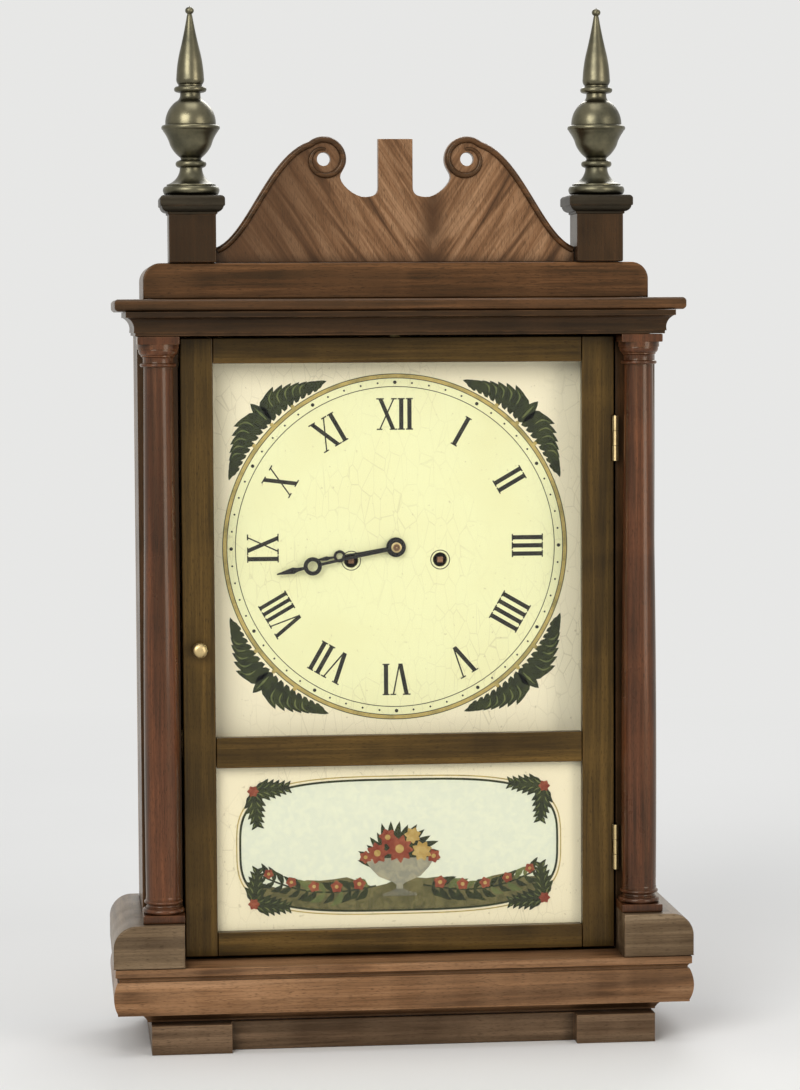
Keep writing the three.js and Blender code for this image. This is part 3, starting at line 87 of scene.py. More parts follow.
def make_camera():
    across = math.cos(VIEW_ELEVATION)
    away = Vector((math.sin(VIEW_AZIMUTH) * across, -math.cos(VIEW_AZIMUTH) * across,
                   math.sin(VIEW_ELEVATION)))
    middle = Vector((0, 0, VIEW_HEIGHT))
    right = (-away).cross(Vector((0, 0, 1))).normalized()
    up = right.cross(-away)
    place = middle + away * VIEW_DISTANCE
    aim = middle + right * AIM_RIGHT - up * AIM_DOWN
    data = bpy.data.cameras.new("camera")
    data.sensor_width = SENSOR_WIDTH
    data.lens = FOCAL_PIXELS / PHOTO_HEIGHT * SENSOR_WIDTH
    camera = bpy.data.objects.new("camera", data)
    turn = (aim - place).to_track_quat("-Z", "Y").to_matrix() @ Matrix.Rotation(VIEW_ROLL, 3, "Z")
    camera.matrix_world = Matrix.Translation(place) @ turn.to_4x4()
    SCENE.collection.objects.link(camera)
    SCENE.camera = camera


make_camera()


class Box:
    """A CAD node's box at rest, in millimetres."""

    def __init__(self, node):
        low, high = ([part / MM for part in corner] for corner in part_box(node))
        self.x0, self.y0, self.z0 = low
        self.x1, self.y1, self.z1 = high
        self.x, self.y, self.z = ((a + b) / 2 for a, b in zip(low, high))
        self.wide, self.deep, self.high = (b - a for a, b in zip(low, high))


DIAL_CENTRE = (0, Box("dial_glass").z)


# Materials

class Look:
    """A node material, written from its texture coordinates to its shader. Its place is in metres,
    and streaks, the painted shade of recesses, edge and bump take millimetres."""

    def __init__(self, name):
        self.material = bpy.data.materials.new(name)
        self.material.use_nodes = True
        self.tree = self.material.node_tree
        self.shader = self.tree.nodes["Principled BSDF"]
        self.place = self.node("ShaderNodeTexCoord").outputs["Object"]

    def node(self, kind, settings=None, **inputs):
        node = self.tree.nodes.new(kind)
        for key, value in (settings or {}).items():
            setattr(node, key, value)
        for key, value in inputs.items():
            self.feed(node.inputs[key.replace("_", " ")], value)
        return node

    def feed(self, socket, value):
        if isinstance(value, bpy.types.NodeSocket):
            self.tree.links.new(value, socket)
        else:
            socket.default_value = value

    def set(self, **inputs):
        for key, value in inputs.items():
            self.feed(self.shader.inputs[key.replace("_", " ")], value)

    def vector(self, operation, a, b=None):
        node = self.node("ShaderNodeVectorMath", {"operation": operation})
        self.feed(node.inputs[0], a)
        if b is not None:
            self.feed(node.inputs[1], b)
        return node.outputs["Value" if operation in ("LENGTH", "DOT_PRODUCT") else "Vector"]

    def scaled(self, x, y, z, source=None):
        return self.vector("MULTIPLY", source or self.place, (x, y, z))

    def streaks(self, grain, length, width, source=None):
        """The place squeezed so that noise runs in streaks of this length and width along an axis."""
        return self.scaled(*(1 / (MM * (length if axis == grain else width)) for axis in "XYZ"), source)

    def noise(self, source, scale=1, detail=4, roughness=0.5, distortion=0):
        node = self.node("ShaderNodeTexNoise", Vector=source, Scale=scale, Detail=detail,
                         Roughness=roughness, Distortion=distortion)
        return node.outputs["Fac"]

    def times(self, a, b):
        node = self.node("ShaderNodeMath", {"operation": "MULTIPLY", "use_clamp": True})
        self.feed(node.inputs[0], a)
        self.feed(node.inputs[1], b)
        return node.outputs[0]

    def span(self, value, low, high, out_low=0.0, out_high=1.0):
        node = self.node("ShaderNodeMapRange", Value=value, From_Min=low, From_Max=high, To_Min=out_low,
                         To_Max=out_high)
        return node.outputs["Result"]

    def ramp(self, value, *stops):
        node = self.node("ShaderNodeValToRGB", Fac=value)
        steps = node.color_ramp.elements
        while len(steps) < len(stops):
            steps.new(0.5)
        for step, (at, colour) in zip(steps, stops):
            step.position = at
            step.color = (*colour, 1)
        return node.outputs["Color"]

    def mix(self, factor, a, b):
        node = self.node("ShaderNodeMix", {"data_type": "RGBA"})
        self.feed(node.inputs[0], factor)
        for socket, value in ((node.inputs[6], a), (node.inputs[7], b)):
            self.feed(socket, (*value, 1) if isinstance(value, tuple) else value)
        return node.outputs[2]

    def bump(self, height, strength, distance):
        last = self.shader.inputs["Normal"]
        node = self.node("ShaderNodeBump", Height=height, Strength=strength, Distance=distance * MM)
        if last.is_linked:
            self.feed(node.inputs["Normal"], last.links[0].from_socket)
        self.feed(last, node.outputs["Normal"])

    def shade_in_recesses(self, colour, reach, low, high, amount, shade_colour):
        """The colour with painted shade, from ambient occlusion, in corners and grooves that are up to a
        reach wide.
        """
        recess = self.node("ShaderNodeAmbientOcclusion", {"samples": 4}, Distance=reach * MM).outputs["AO"]
        return self.mix(self.span(recess, low, high, amount, 0), colour, shade_colour)

    def edge(self, reach):
        """1 on edges, 0 on flat faces."""
        rounded = self.node("ShaderNodeBevel", {"samples": 4}, Radius=reach * MM).outputs["Normal"]
        flat = self.node("ShaderNodeNewGeometry").outputs["Normal"]
        return self.span(self.vector("DOT_PRODUCT", rounded, flat), 0.995, 0.85)

    def blend(self, factor, first, second):
        """Ends the material in a mix of two shaders."""
        mixer = self.node("ShaderNodeMixShader")
        for socket, value in zip(mixer.inputs, (factor, first.outputs[0], second.outputs[0])):
            self.feed(socket, value)
        self.feed(self.tree.nodes["Material Output"].inputs["Surface"], mixer.outputs[0])


def shade_of(colour, share):
    return tuple(share * part for part in colour)


BARE_EDGE = (0.24, 0.115, 0.05)
WOOD_SHEEN = (1, 0.78, 0.5, 1)
SHELLAC = (1, 0.86, 0.62, 1)


def polish(look, colour, grain, dark, shine, coat, wear):
    """The finish of old polished wood: clouds, pores, painted shade in the corners, worn edges and thin
    shellac.
    """
    cloud = look.noise(look.place, scale=7, detail=3)
    colour = look.mix(look.span(cloud, 0.45, 0.72, 0, 0.45), colour, dark)
    pore = look.span(look.noise(look.streaks(grain, 5, 0.45), detail=2), 0.56, 0.66)
    colour = look.mix(look.times(pore, 0.6), colour, shade_of(dark, 0.6))
    # Painted shade: darker in corners and grooves, from ambient occlusion
    colour = look.shade_in_recesses(colour, 9, 0.35, 0.95, 0.85, shade_of(dark, 0.3))
    rub = look.times(look.edge(1.4), look.span(look.noise(look.place, scale=60), 0.35, 0.6))
    colour = look.mix(look.times(rub, wear), colour, BARE_EDGE)
    look.set(Base_Color=colour, Specular_IOR_Level=0.22, Specular_Tint=WOOD_SHEEN)
    look.set(Coat_Weight=coat, Coat_Roughness=0.14, Coat_IOR=1.4, Coat_Tint=SHELLAC)
    haze = look.noise(look.place, scale=24, detail=5)
    look.set(Roughness=look.span(haze, 0.3, 0.7, shine, shine + 0.16))
    look.bump(pore, 0.25, -0.12)


def polished_wood(name, grain, tones, figure=0.3, shine=0.32, coat=0.22, wear=0.3):
    """Straight grained wood. tones are a dark, a middle and a light colour, and figure, coat and wear
    are the strength of its ribbon, its shellac and its rubbed edges."""
    look = Look(name)
    dark, middle, light = tones
    streak = look.noise(look.streaks(grain, 260, 9), detail=6, roughness=0.62, distortion=0.5)
    colour = look.ramp(streak, (0.35, dark), (0.51, middle), (0.69, light))
    fibre = look.noise(look.streaks(grain, 70, 1.3), detail=3)
    colour = look.mix(look.span(fibre, 0.44, 0.66, 0, 0.5), colour, dark)
    ribbon = look.noise(look.streaks(grain, 38, 130), detail=0, distortion=1.0)
    colour = look.mix(look.span(ribbon, 0.3, 0.78, 0, figure), colour, light)
    polish(look, colour, grain, dark, shine, coat, wear)
    look.bump(streak, 0.08, 0.3)
    return look.material


FEATHER_LEAN = math.radians(-34)
FEATHER_SEAM = 28 * MM
# Painted shade over the crest: it begins at the first x and is darkest at the second, to the left
PAINTED_SHADE_FROM = -20 * MM
PAINTED_SHADE_TO = -85 * MM


def flame_veneer(name, tones):
    """Crotch veneer: a feathered flame that spreads up and out from a dark seam, with painted shade that
    darkens it to the left.
    """
    look = Look(name)
    dark, middle, light = tones
    matched = look.vector("ABSOLUTE", look.vector("SUBTRACT", look.place, (FEATHER_SEAM, 0, 0)))
    leaned = look.node("ShaderNodeVectorRotate", {"rotation_type": "Y_AXIS"}, Vector=matched,
                       Angle=FEATHER_LEAN).outputs[0]
    feather = look.noise(look.streaks("Z", 95, 8, leaned), detail=5, roughness=0.55, distortion=0.9)
    colour = look.ramp(feather, (0.32, dark), (0.47, middle), (0.62, light))
    fibre = look.noise(look.streaks("Z", 40, 1.2, leaned), detail=3)
    colour = look.mix(look.span(fibre, 0.45, 0.7, 0, 0.4), colour, dark)
    aside = look.node("ShaderNodeSeparateXYZ", Vector=matched).outputs["X"]
    sway = look.noise(look.place, scale=26, detail=2)
    plume = look.times(look.span(aside, 2 * MM, 13 * MM, 0.85, 0), look.span(sway, 0.3, 0.55))
    colour = look.mix(plume, colour, dark)
    # Painted shade: the crest darker to the left
    across = look.node("ShaderNodeSeparateXYZ", Vector=look.place).outputs["X"]
    colour = look.mix(look.span(across, PAINTED_SHADE_FROM, PAINTED_SHADE_TO, 0, 0.72), colour, dark)
    polish(look, colour, "Z", dark, 0.3, 0.35, 0.3)
    return look.material


PITH_LEAN = math.radians(7)
# The spacing of the wave texture's rings at a scale of 1
RING_SPACING = math.pi / 10


def bare_wood(name, grain, tones, rings=9):
    """Unpolished wood with dusty stains and painted shade in its corners. Its growth rings lie round a pith
    that leans through the board, which draws the nested arches of a flat sawn plank."""
    look = Look(name)
    dark, middle, light = tones
    leaned = look.node("ShaderNodeVectorRotate", {"rotation_type": "Z_AXIS" if grain == "X" else "X_AXIS"},
                       Vector=look.place, Angle=PITH_LEAN).outputs[0]
    squeezed = look.scaled(*(0.2 if axis == grain else 1 for axis in "XYZ"), leaned)
    pattern = {"wave_type": "RINGS", "rings_direction": grain, "wave_profile": "SAW"}
    wave = look.node("ShaderNodeTexWave", pattern, Vector=squeezed, Scale=RING_SPACING / (rings * MM),
                     Distortion=5.0, Detail=3.0, Detail_Scale=0.45)
    late = tuple((m + d) / 2 for m, d in zip(middle, dark))
    early = tuple((m + l) / 2 for m, l in zip(middle, light))
    ring = look.ramp(wave.outputs["Fac"], (0.0, early), (0.55, middle), (0.9, late), (1.0, early))
    board = look.noise(look.streaks(grain, 300, 24), detail=3)
    colour = look.mix(look.span(board, 0.4, 0.65, 0.15, 0.75), ring, early)
    fibre = look.noise(look.streaks(grain, 40, 0.9), detail=4)
    colour = look.mix(look.span(fibre, 0.45, 0.75, 0, 0.5), colour, dark)
    stain = look.noise(look.place, scale=6, detail=4)
    colour = look.mix(look.span(stain, 0.45, 0.72, 0, 0.5), colour, shade_of(middle, 0.55))
    # Painted shade: darker in corners and grooves, from ambient occlusion
    colour = look.shade_in_recesses(colour, 12, 0.3, 0.95, 0.65, shade_of(dark, 0.3))
    look.set(Base_Color=colour, Roughness=look.span(fibre, 0.3, 0.7, 0.62, 0.82))
    look.bump(fibre, 0.3, 0.25)
    return look.material


def metal(name, bright, dull, rough=0.28, grain=0.0):
    """Metal with duller patches, painted shade in its grooves, and fine scratches."""
    look = Look(name)
    patina = look.noise(look.place, scale=38, detail=7, roughness=0.65)
    colour = look.mix(look.span(patina, 0.4, 0.7), bright, dull)
    # Painted shade: darker in grooves, from ambient occlusion
    colour = look.shade_in_recesses(colour, 7, 0.3, 0.9, 0.8, shade_of(dull, 0.22))
    look.set(Base_Color=colour, Metallic=1.0, Roughness=look.span(patina, 0.3, 0.75, rough, rough + 0.22))
    look.bump(look.noise(look.scaled(90, 90, 2600), detail=2), 0.08, 0.1)
    if grain:
        look.bump(look.noise(look.place, scale=420, detail=5), grain, 0.7)
    return look.material


DIAL_YELLOWS = ((0.3, (0.86, 0.83, 0.48)), (0.5, (0.9, 0.89, 0.54)), (0.75, (0.88, 0.84, 0.49)))
DIAL_GROUNDS = ((0.98, 0.87, 0.66), (0.93, 0.85, 0.62))
DIAL_EDGE = (130 * MM, 133 * MM)


def dial_paint():
    """Cream oil paint on a board: yellow inside the dial's ring, in clouds, with fine cracks and specks, and
    faint painted shade where the frame stands close.
    """
    look = Look("dial_paint")
    cloud = look.noise(look.place, scale=9, detail=4)
    away = look.vector("SUBTRACT", look.place, (0, 0, DIAL_CENTRE[1] * MM))
    radius = look.vector("LENGTH", look.scaled(1, 0, 1, away))
    colour = look.mix(look.span(radius, *DIAL_EDGE), look.ramp(cloud, *DIAL_YELLOWS),
                      look.mix(cloud, *DIAL_GROUNDS))
    cells = look.node("ShaderNodeTexVoronoi", {"feature": "DISTANCE_TO_EDGE"}, Scale=1.0,
                      Vector=look.scaled(130, 130, 55)).outputs["Distance"]
    crack = look.times(look.span(cells, 0.03, 0.0), look.span(cloud, 0.42, 0.64))
    colour = look.mix(look.times(crack, 0.35), colour, (0.4, 0.33, 0.18))
    speck = look.span(look.noise(look.place, scale=330, detail=2), 0.68, 0.74)
    colour = look.mix(look.times(speck, 0.35), colour, (0.36, 0.27, 0.13))
    # Painted shade: a little darker where the door frame and rails stand close, from ambient occlusion
    colour = look.shade_in_recesses(colour, 8, 0.2, 0.6, 0.12, (0.5, 0.42, 0.22))
    look.set(Base_Color=colour, Roughness=look.span(cloud, 0.3, 0.7, 0.38, 0.52))
    look.bump(crack, 0.3, -0.12)
    look.bump(look.noise(look.scaled(900, 900, 60), detail=2), 0.1, 0.12)
    return look.material


def paint(name, colour, shade, rough=0.42):
    """A brushed motif: two close tones in strokes."""
    look = Look(name)
    stroke = look.noise(look.place, scale=170, detail=4, distortion=0.8)
    tone = look.mix(look.span(stroke, 0.38, 0.66), colour, shade)
    look.set(Base_Color=tone, Roughness=look.span(stroke, 0.3, 0.7, rough, rough + 0.12),
             Specular_IOR_Level=0.25)
    look.bump(stroke, 0.15, 0.08)
    return look.material


def gilding():
    look = Look("gilding")
    rub = look.noise(look.place, scale=90, detail=6, roughness=0.7)
    colour = look.mix(look.span(rub, 0.42, 0.68), (0.56, 0.42, 0.14), (0.3, 0.25, 0.09))
    look.set(Base_Color=colour, Metallic=0.55, Roughness=look.span(rub, 0.3, 0.7, 0.34, 0.55))
    return look.material


def window_glass():
    """Clear pane: lets light through and mirrors a little, with the faint waves of old glass."""
    look = Look("window_glass")
    clear = look.node("ShaderNodeBsdfTransparent", Color=(0.985, 0.99, 0.98, 1))
    wave = look.node("ShaderNodeBump", Height=look.noise(look.scaled(14, 14, 5), detail=1), Strength=0.12,
                     Distance=1.5 * MM)
    gloss = look.node("ShaderNodeBsdfGlossy", Roughness=0.04, Normal=wave.outputs["Normal"])
    look.blend(look.times(look.node("ShaderNodeFresnel", IOR=1.4).outputs[0], 0.5), clear, gloss)
    look.tree.nodes.remove(look.shader)
    return look.material


def twisted_hemp():
    look = Look("twisted_hemp")
    fibre = look.noise(look.place, scale=2600, detail=3)
    tone = look.ramp(fibre, (0.3, (0.2, 0.14, 0.07)), (0.6, (0.42, 0.33, 0.19)), (0.8, (0.56, 0.46, 0.3)))
    # Painted shade between the strands, from ambient occlusion
    look.set(Base_Color=look.shade_in_recesses(tone, 0.6, 0.4, 0.95, 0.7, (0.09, 0.06, 0.03)), Roughness=0.92)
    look.bump(fibre, 0.4, 0.1)
    return look.material


def by_axis(make, name, axes, tones):
    """One wood with its grain along each of some axes."""
    return {axis: make(f"{name}_{axis}", axis, tones) for axis in axes}


# Each wood's dark, middle and light colour
MAHOGANY = ((0.013, 0.006, 0.002), (0.056, 0.025, 0.01), (0.123, 0.055, 0.022))
# A dark mahogany: the finial blocks' own tone, and on the bed moulding a painted shade, as under the cornice
DARK_AND_SHADED_MAHOGANY = ((0.006, 0.002, 0.001), (0.02, 0.009, 0.003), (0.047, 0.021, 0.008))
RED_MAHOGANY = ((0.017, 0.006, 0.003), (0.073, 0.026, 0.013), (0.155, 0.056, 0.025))
VENEER = ((0.016, 0.009, 0.002), (0.057, 0.033, 0.007), (0.13, 0.075, 0.018))
LIGHT_VENEER = ((0.045, 0.019, 0.008), (0.171, 0.086, 0.042), (0.297, 0.173, 0.098))
COURSE_VENEER = ((0.019, 0.008, 0.002), (0.077, 0.032, 0.011), (0.163, 0.075, 0.03))
BASE_VENEER = ((0.067, 0.033, 0.016), (0.213, 0.109, 0.052), (0.358, 0.206, 0.113))
PEDESTAL_VENEER = ((0.04, 0.024, 0.013), (0.132, 0.09, 0.053), (0.235, 0.175, 0.115))
PLINTH_WOOD = ((0.042, 0.024, 0.013), (0.122, 0.076, 0.046), (0.22, 0.15, 0.096))
EBONISED = ((0.006, 0.005, 0.004), (0.016, 0.014, 0.01), (0.034, 0.03, 0.022))
PINE = ((0.2, 0.115, 0.05), (0.36, 0.235, 0.115), (0.47, 0.33, 0.18))
OAK = ((0.17, 0.1, 0.045), (0.31, 0.2, 0.1), (0.42, 0.29, 0.16))
CHERRY = ((0.14, 0.06, 0.026), (0.27, 0.13, 0.06), (0.37, 0.2, 0.1))

mahogany = by_axis(polished_wood, "mahogany", "XZ", MAHOGANY)
dark_mahogany = by_axis(polished_wood, "dark_mahogany", "XYZ", DARK_AND_SHADED_MAHOGANY)
plinth_wood = polished_wood("plinth_wood", "X", PLINTH_WOOD)
pillar_wood = polished_wood("pillar_mahogany", "Z", RED_MAHOGANY, shine=0.24, coat=0.5, figure=0.2)
veneer = by_axis(polished_wood, "veneer", "XZ", VENEER)
course_wood = polished_wood("course_veneer", "X", COURSE_VENEER, figure=0.35)
crest_wood = flame_veneer("crest_veneer", LIGHT_VENEER)
base_wood = by_axis(polished_wood, "base_veneer", "XY", BASE_VENEER)
pedestal_wood = by_axis(polished_wood, "pedestal_veneer", "XY", PEDESTAL_VENEER)
ebonised = polished_wood("ebonised", "X", EBONISED, shine=0.4, coat=0.1, wear=0.15)
pine = by_axis(bare_wood, "pine", "XZ", PINE)
oak = bare_wood("oak", "Z", OAK, rings=5)
cherry = bare_wood("cherry", "X", CHERRY, rings=3)
brass = metal("aged_brass", (0.68, 0.53, 0.27), (0.38, 0.28, 0.13))
pale_brass = metal("pale_brass", (0.15, 0.135, 0.085), (0.06, 0.058, 0.04), rough=0.25)
steel = metal("blued_steel", (0.34, 0.35, 0.37), (0.16, 0.17, 0.2), rough=0.36)
iron = metal("cast_iron", (0.12, 0.115, 0.11), (0.07, 0.055, 0.045), rough=0.6, grain=0.6)
glass = window_glass()
cream = dial_paint()
black_paint = paint("black_paint", (0.012, 0.012, 0.01), (0.035, 0.032, 0.02))
hand_paint = paint("hand_lacquer", (0.01, 0.01, 0.01), (0.02, 0.018, 0.016), rough=0.24)
leaf_green = paint("leaf_green", (0.014, 0.019, 0.004), (0.036, 0.044, 0.009))
light_green = paint("light_green", (0.1, 0.125, 0.035), (0.17, 0.185, 0.06))
lawn_green = paint("lawn_green", (0.1, 0.09, 0.03), (0.19, 0.16, 0.06))
flower_red = paint("flower_red", (0.22, 0.04, 0.02), (0.34, 0.1, 0.05))
ochre = paint("ochre", (0.42, 0.27, 0.07), (0.55, 0.4, 0.15))
stone_grey = paint("stone_grey", (0.3, 0.29, 0.22), (0.42, 0.38, 0.26))
sky_paint = paint("pale_sky", (0.77, 0.79, 0.65), (0.83, 0.84, 0.67))
gold = gilding()
hemp = twisted_hemp()


# Points in a plane

QUARTER_BULGE = 0.414
ARC_STEPS = 10


def arc(start, end, bulge, count=ARC_STEPS):
    """The points after start on an arc to end. It swells to the right of travel, and a bulge of 1
    is a half circle."""
    half = 2 * math.atan(bulge)
    dx, dy = end[0] - start[0], end[1] - start[1]
    cx = (start[0] + end[0]) / 2 - dy / 2 / math.tan(half)
    cy = (start[1] + end[1]) / 2 + dx / 2 / math.tan(half)
    return placed([(start[0] - cx, start[1] - cy)], (cx, cy), *(2 * half * share for share in shares(count)))


def placed(points, at=(0, 0), *turns):
    """The points turned about the origin and moved to a place, once for each turn."""
    made = []
    for turn in turns or (0,):
        c, s = math.cos(turn), math.sin(turn)
        made += [(at[0] + c * u - s * v, at[1] + s * u + c * v) for u, v in points]
    return made


def outline(*steps, origin=(0, 0), unit=(1, 1)):
    """Points at (x, y) steps from an origin, in units. A third number is the bulge of an arc that
    leads to the step, and a fourth its count of points."""
    points = []
    for x, y, *bend in steps:
        end = (origin[0] + x * unit[0], origin[1] + y * unit[1])
        points += arc(points[-1], end, *bend) if bend else [end]
    return points


def polar(radius, angle, centre=(0, 0)):
    return centre[0] + radius * math.cos(angle), centre[1] + radius * math.sin(angle)


def sweep(radius, start, turn, count, centre=(0, 0)):
    """Points on a circle from an angle through a turn, with both ends."""
    return [polar(radius, start + turn * i / count, centre) for i in range(count + 1)]


def disc(radius, count, centre=(0, 0)):
    return sweep(radius, 0, FULL_TURN, count, centre)[:-1]


def mirrored(points, side=-1):
    return [(side * x, z) for x, z in points]


def shares(count):
    return [i / count for i in range(1, count + 1)]


def bezier(a, b, c, d, count):
    points = []
    for t in shares(count):
        s = 1 - t
        points.append(tuple(s ** 3 * a[k] + 3 * s * s * t * b[k] + 3 * s * t * t * c[k] + t ** 3 * d[k]
                            for k in (0, 1)))
    return points


# Solids, each a bmesh in millimetres

ON_AXIS = 1e-4
CORNER_STEPS = 4


def quad_strip(bm, first, second):
    for corners in zip(first, first[1:] + first[:1], second[1:] + second[:1], second):
        unique = list(dict.fromkeys(corners))
        if len(unique) > 2:
            bm.faces.new(unique)


def join_rings(bm, rings):
    """Walls between rings of points, of which some may be a single point, and a face over each end."""
    count = max(len(ring) for ring in rings)
    for lower, upper in zip(rings, rings[1:]):
        quad_strip(bm, *(ring * count if len(ring) == 1 else ring for ring in (lower, upper)))
    for end in (rings[0], rings[-1]):
        if len(end) > 2:
            bm.faces.new(end)
    return bm


def turned(profile, centre, axis, segments, bm=None):
    """A round solid from (radius, height) pairs."""
    bm = bm or bmesh.new()
    rings = []
    for radius, height in profile:
        spots = disc(radius, 1 if radius < ON_AXIS else segments)
        spots = [(u, height, v) if axis == "Y" else (u, v, height) for u, v in spots]
        rings.append([bm.verts.new(Vector(centre) + Vector(spot)) for spot in spots])
    return join_rings(bm, rings)


def squared(bm, profile, centre, corner):
    """A square solid from (half width, height) pairs, with rounded upright edges."""
    rings = []
    for half, height in profile:
        ring = []
        radius = min(corner, half)
        for quarter, (sx, sy) in enumerate(((1, 1), (-1, 1), (-1, -1), (1, -1))):
            at = (centre[0] + sx * (half - radius), centre[1] + sy * (half - radius))
            ring += sweep(radius, quarter * QUARTER_TURN, QUARTER_TURN, CORNER_STEPS, at)
        rings.append([bm.verts.new((x, y, height)) for x, y in ring])
    return join_rings(bm, rings)


def block(low, high):
    bm = bmesh.new()
    for v in bmesh.ops.create_cube(bm, size=1)["verts"]:
        v.co = Vector(a + (c + 0.5) * (b - a) for a, b, c in zip(low, high, v.co))
    return bm


def prism(bm, points, low, high):
    """An outline in X and Z carried from low to high along Y."""
    return join_rings(bm, [[bm.verts.new((x, y, z)) for x, z in points] for y in (low, high)])


def mitred(profile, box, inner_half, inner_front):
    """A moulding round the front and both sides of a box, mitred at the corners.
    The profile is (inset, height) pairs of its outer face, from the bottom up."""
    bm = bmesh.new()
    rings = []
    for side, at_back in ((-1, True), (-1, False), (1, False), (1, True)):
        points = [(side * (box.x1 - inset), box.y1 if at_back else box.y0 + inset, z)
                  for inset, z in profile]
        inner = (side * inner_half, box.y1 if at_back else inner_front)
        points += [(*inner, profile[-1][1]), (*inner, profile[0][1])]
        rings.append([bm.verts.new(point) for point in points])
    return join_rings(bm, rings)


def plate(loops, y0, y1, ease):
    """A flat plate in X and Z between y0 and y1 with rounded edges: an outline, then its holes."""
    curve = bpy.data.curves.new("fill", "CURVE")
    curve.dimensions = "2D"
    curve.fill_mode = "BOTH"
    for loop in loops:
        spline = curve.splines.new("POLY")
        spline.points.add(len(loop) - 1)
        for point, (u, v) in zip(spline.points, loop):
            point.co = (u * MM, v * MM, 0, 1)
        spline.use_cyclic_u = True
    curve.extrude = ((y1 - y0) / 2 - ease) * MM
    curve.bevel_depth = ease * MM
    curve.bevel_resolution = 2
    curve.offset = -ease * MM
    holder = bpy.data.objects.new("fill", curve)
    SCENE.collection.objects.link(holder)
    bpy.context.view_layer.update()
    mesh = bpy.data.meshes.new_from_object(holder.evaluated_get(bpy.context.evaluated_depsgraph_get()))
    bpy.data.objects.remove(holder)
    bpy.data.curves.remove(curve)
    bm = bmesh.new()
    bm.from_mesh(mesh)
    bpy.data.meshes.remove(mesh)
    bmesh.ops.remove_doubles(bm, verts=bm.verts, dist=MM * MM)
    # Stands the flat curve up, its thickness along Y, and brings it back to millimetres
    bm.transform(Matrix(((1, 0, 0, 0), (0, 0, -1, (y0 + y1) / 2 * MM), (0, 1, 0, 0), (0, 0, 0, 1))))
    bm.transform(Matrix.Scale(1 / MM, 4))
    return bm


def round_bar(bm, path, sizes, sides, wave=0.0, twist=0.0):
    """A round bar along points, its radius given at each. wave and twist give it strands."""
    rings = []
    for i, point in enumerate(path):
        ahead = (path[min(i + 1, len(path) - 1)] - path[max(i - 1, 0)]).normalized()
        side = ahead.cross(Vector((0, 1, 0))).normalized()
        over = side.cross(ahead)
        ring = []
        for k in range(sides):
            angle = FULL_TURN * k / sides
            radius = sizes[i] * (1 - wave + wave * abs(math.cos(1.5 * (angle + twist * i))))
            u, v = polar(radius, angle)
            ring.append(bm.verts.new(point + side * u + over * v))
        rings.append(ring)
    return join_rings(bm, rings)


# Pieces

SHARP_ANGLE = math.radians(32)
BEVEL_STEPS = 3
SAME_PLACE = 1e-6


def mesh_from(name, bm, bevel=0.0, front=None):
    """A mesh in metres. bevel rounds its sharp edges, or only those in the plane y = front."""
    for vert in bm.verts:
        vert.co *= MM
    bmesh.ops.recalc_face_normals(bm, faces=bm.faces)
    if bevel:
        chosen = [e for e in bm.edges if e.is_manifold and e.calc_face_angle() > SHARP_ANGLE
                  and (front is None or all(abs(v.co.y - front * MM) < SAME_PLACE for v in e.verts))]
        bmesh.ops.bevel(bm, geom=chosen, offset=bevel * MM, segments=BEVEL_STEPS, profile=0.5,
                        affect="EDGES", clamp_overlap=True)
    mesh = bpy.data.meshes.new(name)
    bm.to_mesh(mesh)
    bm.free()
    return mesh


def add(name, bm, body, slot, looks, *nodes, bevel=0.0, front=None, even=False, second=None):
    """Puts a solid in the scene on its CAD body, in place of the CAD nodes named.
    second tells which faces take the second look."""
    mesh = mesh_from(name, bm, bevel, front)
    for look in looks if isinstance(looks, tuple) else (looks,):
        mesh.materials.append(look)
    if second:
        for face in mesh.polygons:
            face.material_index = int(second(face))
    mesh.shade_smooth()
    mesh.set_sharp_from_angle(angle=SHARP_ANGLE)
    piece = bpy.data.objects.new(name, mesh)
    SCENE.collection.objects.link(piece)
    if bevel or even:
        piece.modifiers.new("even_normals", "WEIGHTED_NORMAL").keep_sharp = True
    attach(piece, body)
    if nodes:
        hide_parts(*nodes)
    return piece


def dress(node, look, ease, steps):
    """A CAD node that stays: its look, with its edges eased."""
    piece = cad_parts[node]
    if not piece.material_slots:
        piece.data.materials.append(look)
    for holder in piece.material_slots:
        holder.material = look
    if ease:
        piece.modifiers.new("weld", "WELD").merge_threshold = 0.005 * MM
        bevel = piece.modifiers.new("ease", "BEVEL")
        bevel.width = ease * MM
        bevel.segments = steps
        bevel.limit_method = "ANGLE"
        bevel.angle_limit = SHARP_ANGLE
        bevel.use_clamp_overlap = True
        bevel.harden_normals = True


# CAD nodes that stay: their look, the width and steps of their eased edges, and their names
DRESSED = (
    (plinth_wood, 0.6, 2, "plinth"),
    (mahogany["Z"], 0.8, 2, "case_side_right case_side_left"),
    (pine["Z"], 0.8, 2, "backboard"),
    (mahogany["X"], 1.6, 4, "cornice_board"),
    (cream, 0.5, 2, "dial"),
    (pine["X"], 0.5, 2, "dial_rail_upper dial_rail_lower"),
    (brass, 0.5, 2, "turn_button"),
    (veneer["Z"], 0.9, 3, "door_stile_right door_stile_left"),
    (veneer["X"], 0.9, 3, "door_rail_bottom door_rail_middle door_rail_top"),
    (glass, 0, 0, "dial_glass"),
    (brass, 0.2, 2, "hinge_case_leaf_lower hinge_case_leaf_upper"),
    (brass, 0.2, 2, "hinge_door_leaf_lower hinge_door_leaf_upper"),
    (oak, 0.4, 2, "front_plate back_plate"),
    (cherry, 0, 0, "centre_wheel third_wheel time_great_wheel strike_great_wheel pin_wheel fly"),
    (cherry, 0, 0, "cannon_pinion minute_wheel hour_wheel time_drum strike_drum"),
    (brass, 0, 0, "escape_wheel verge pendulum_rod"),
    (steel, 0, 0, "hammer"),
)


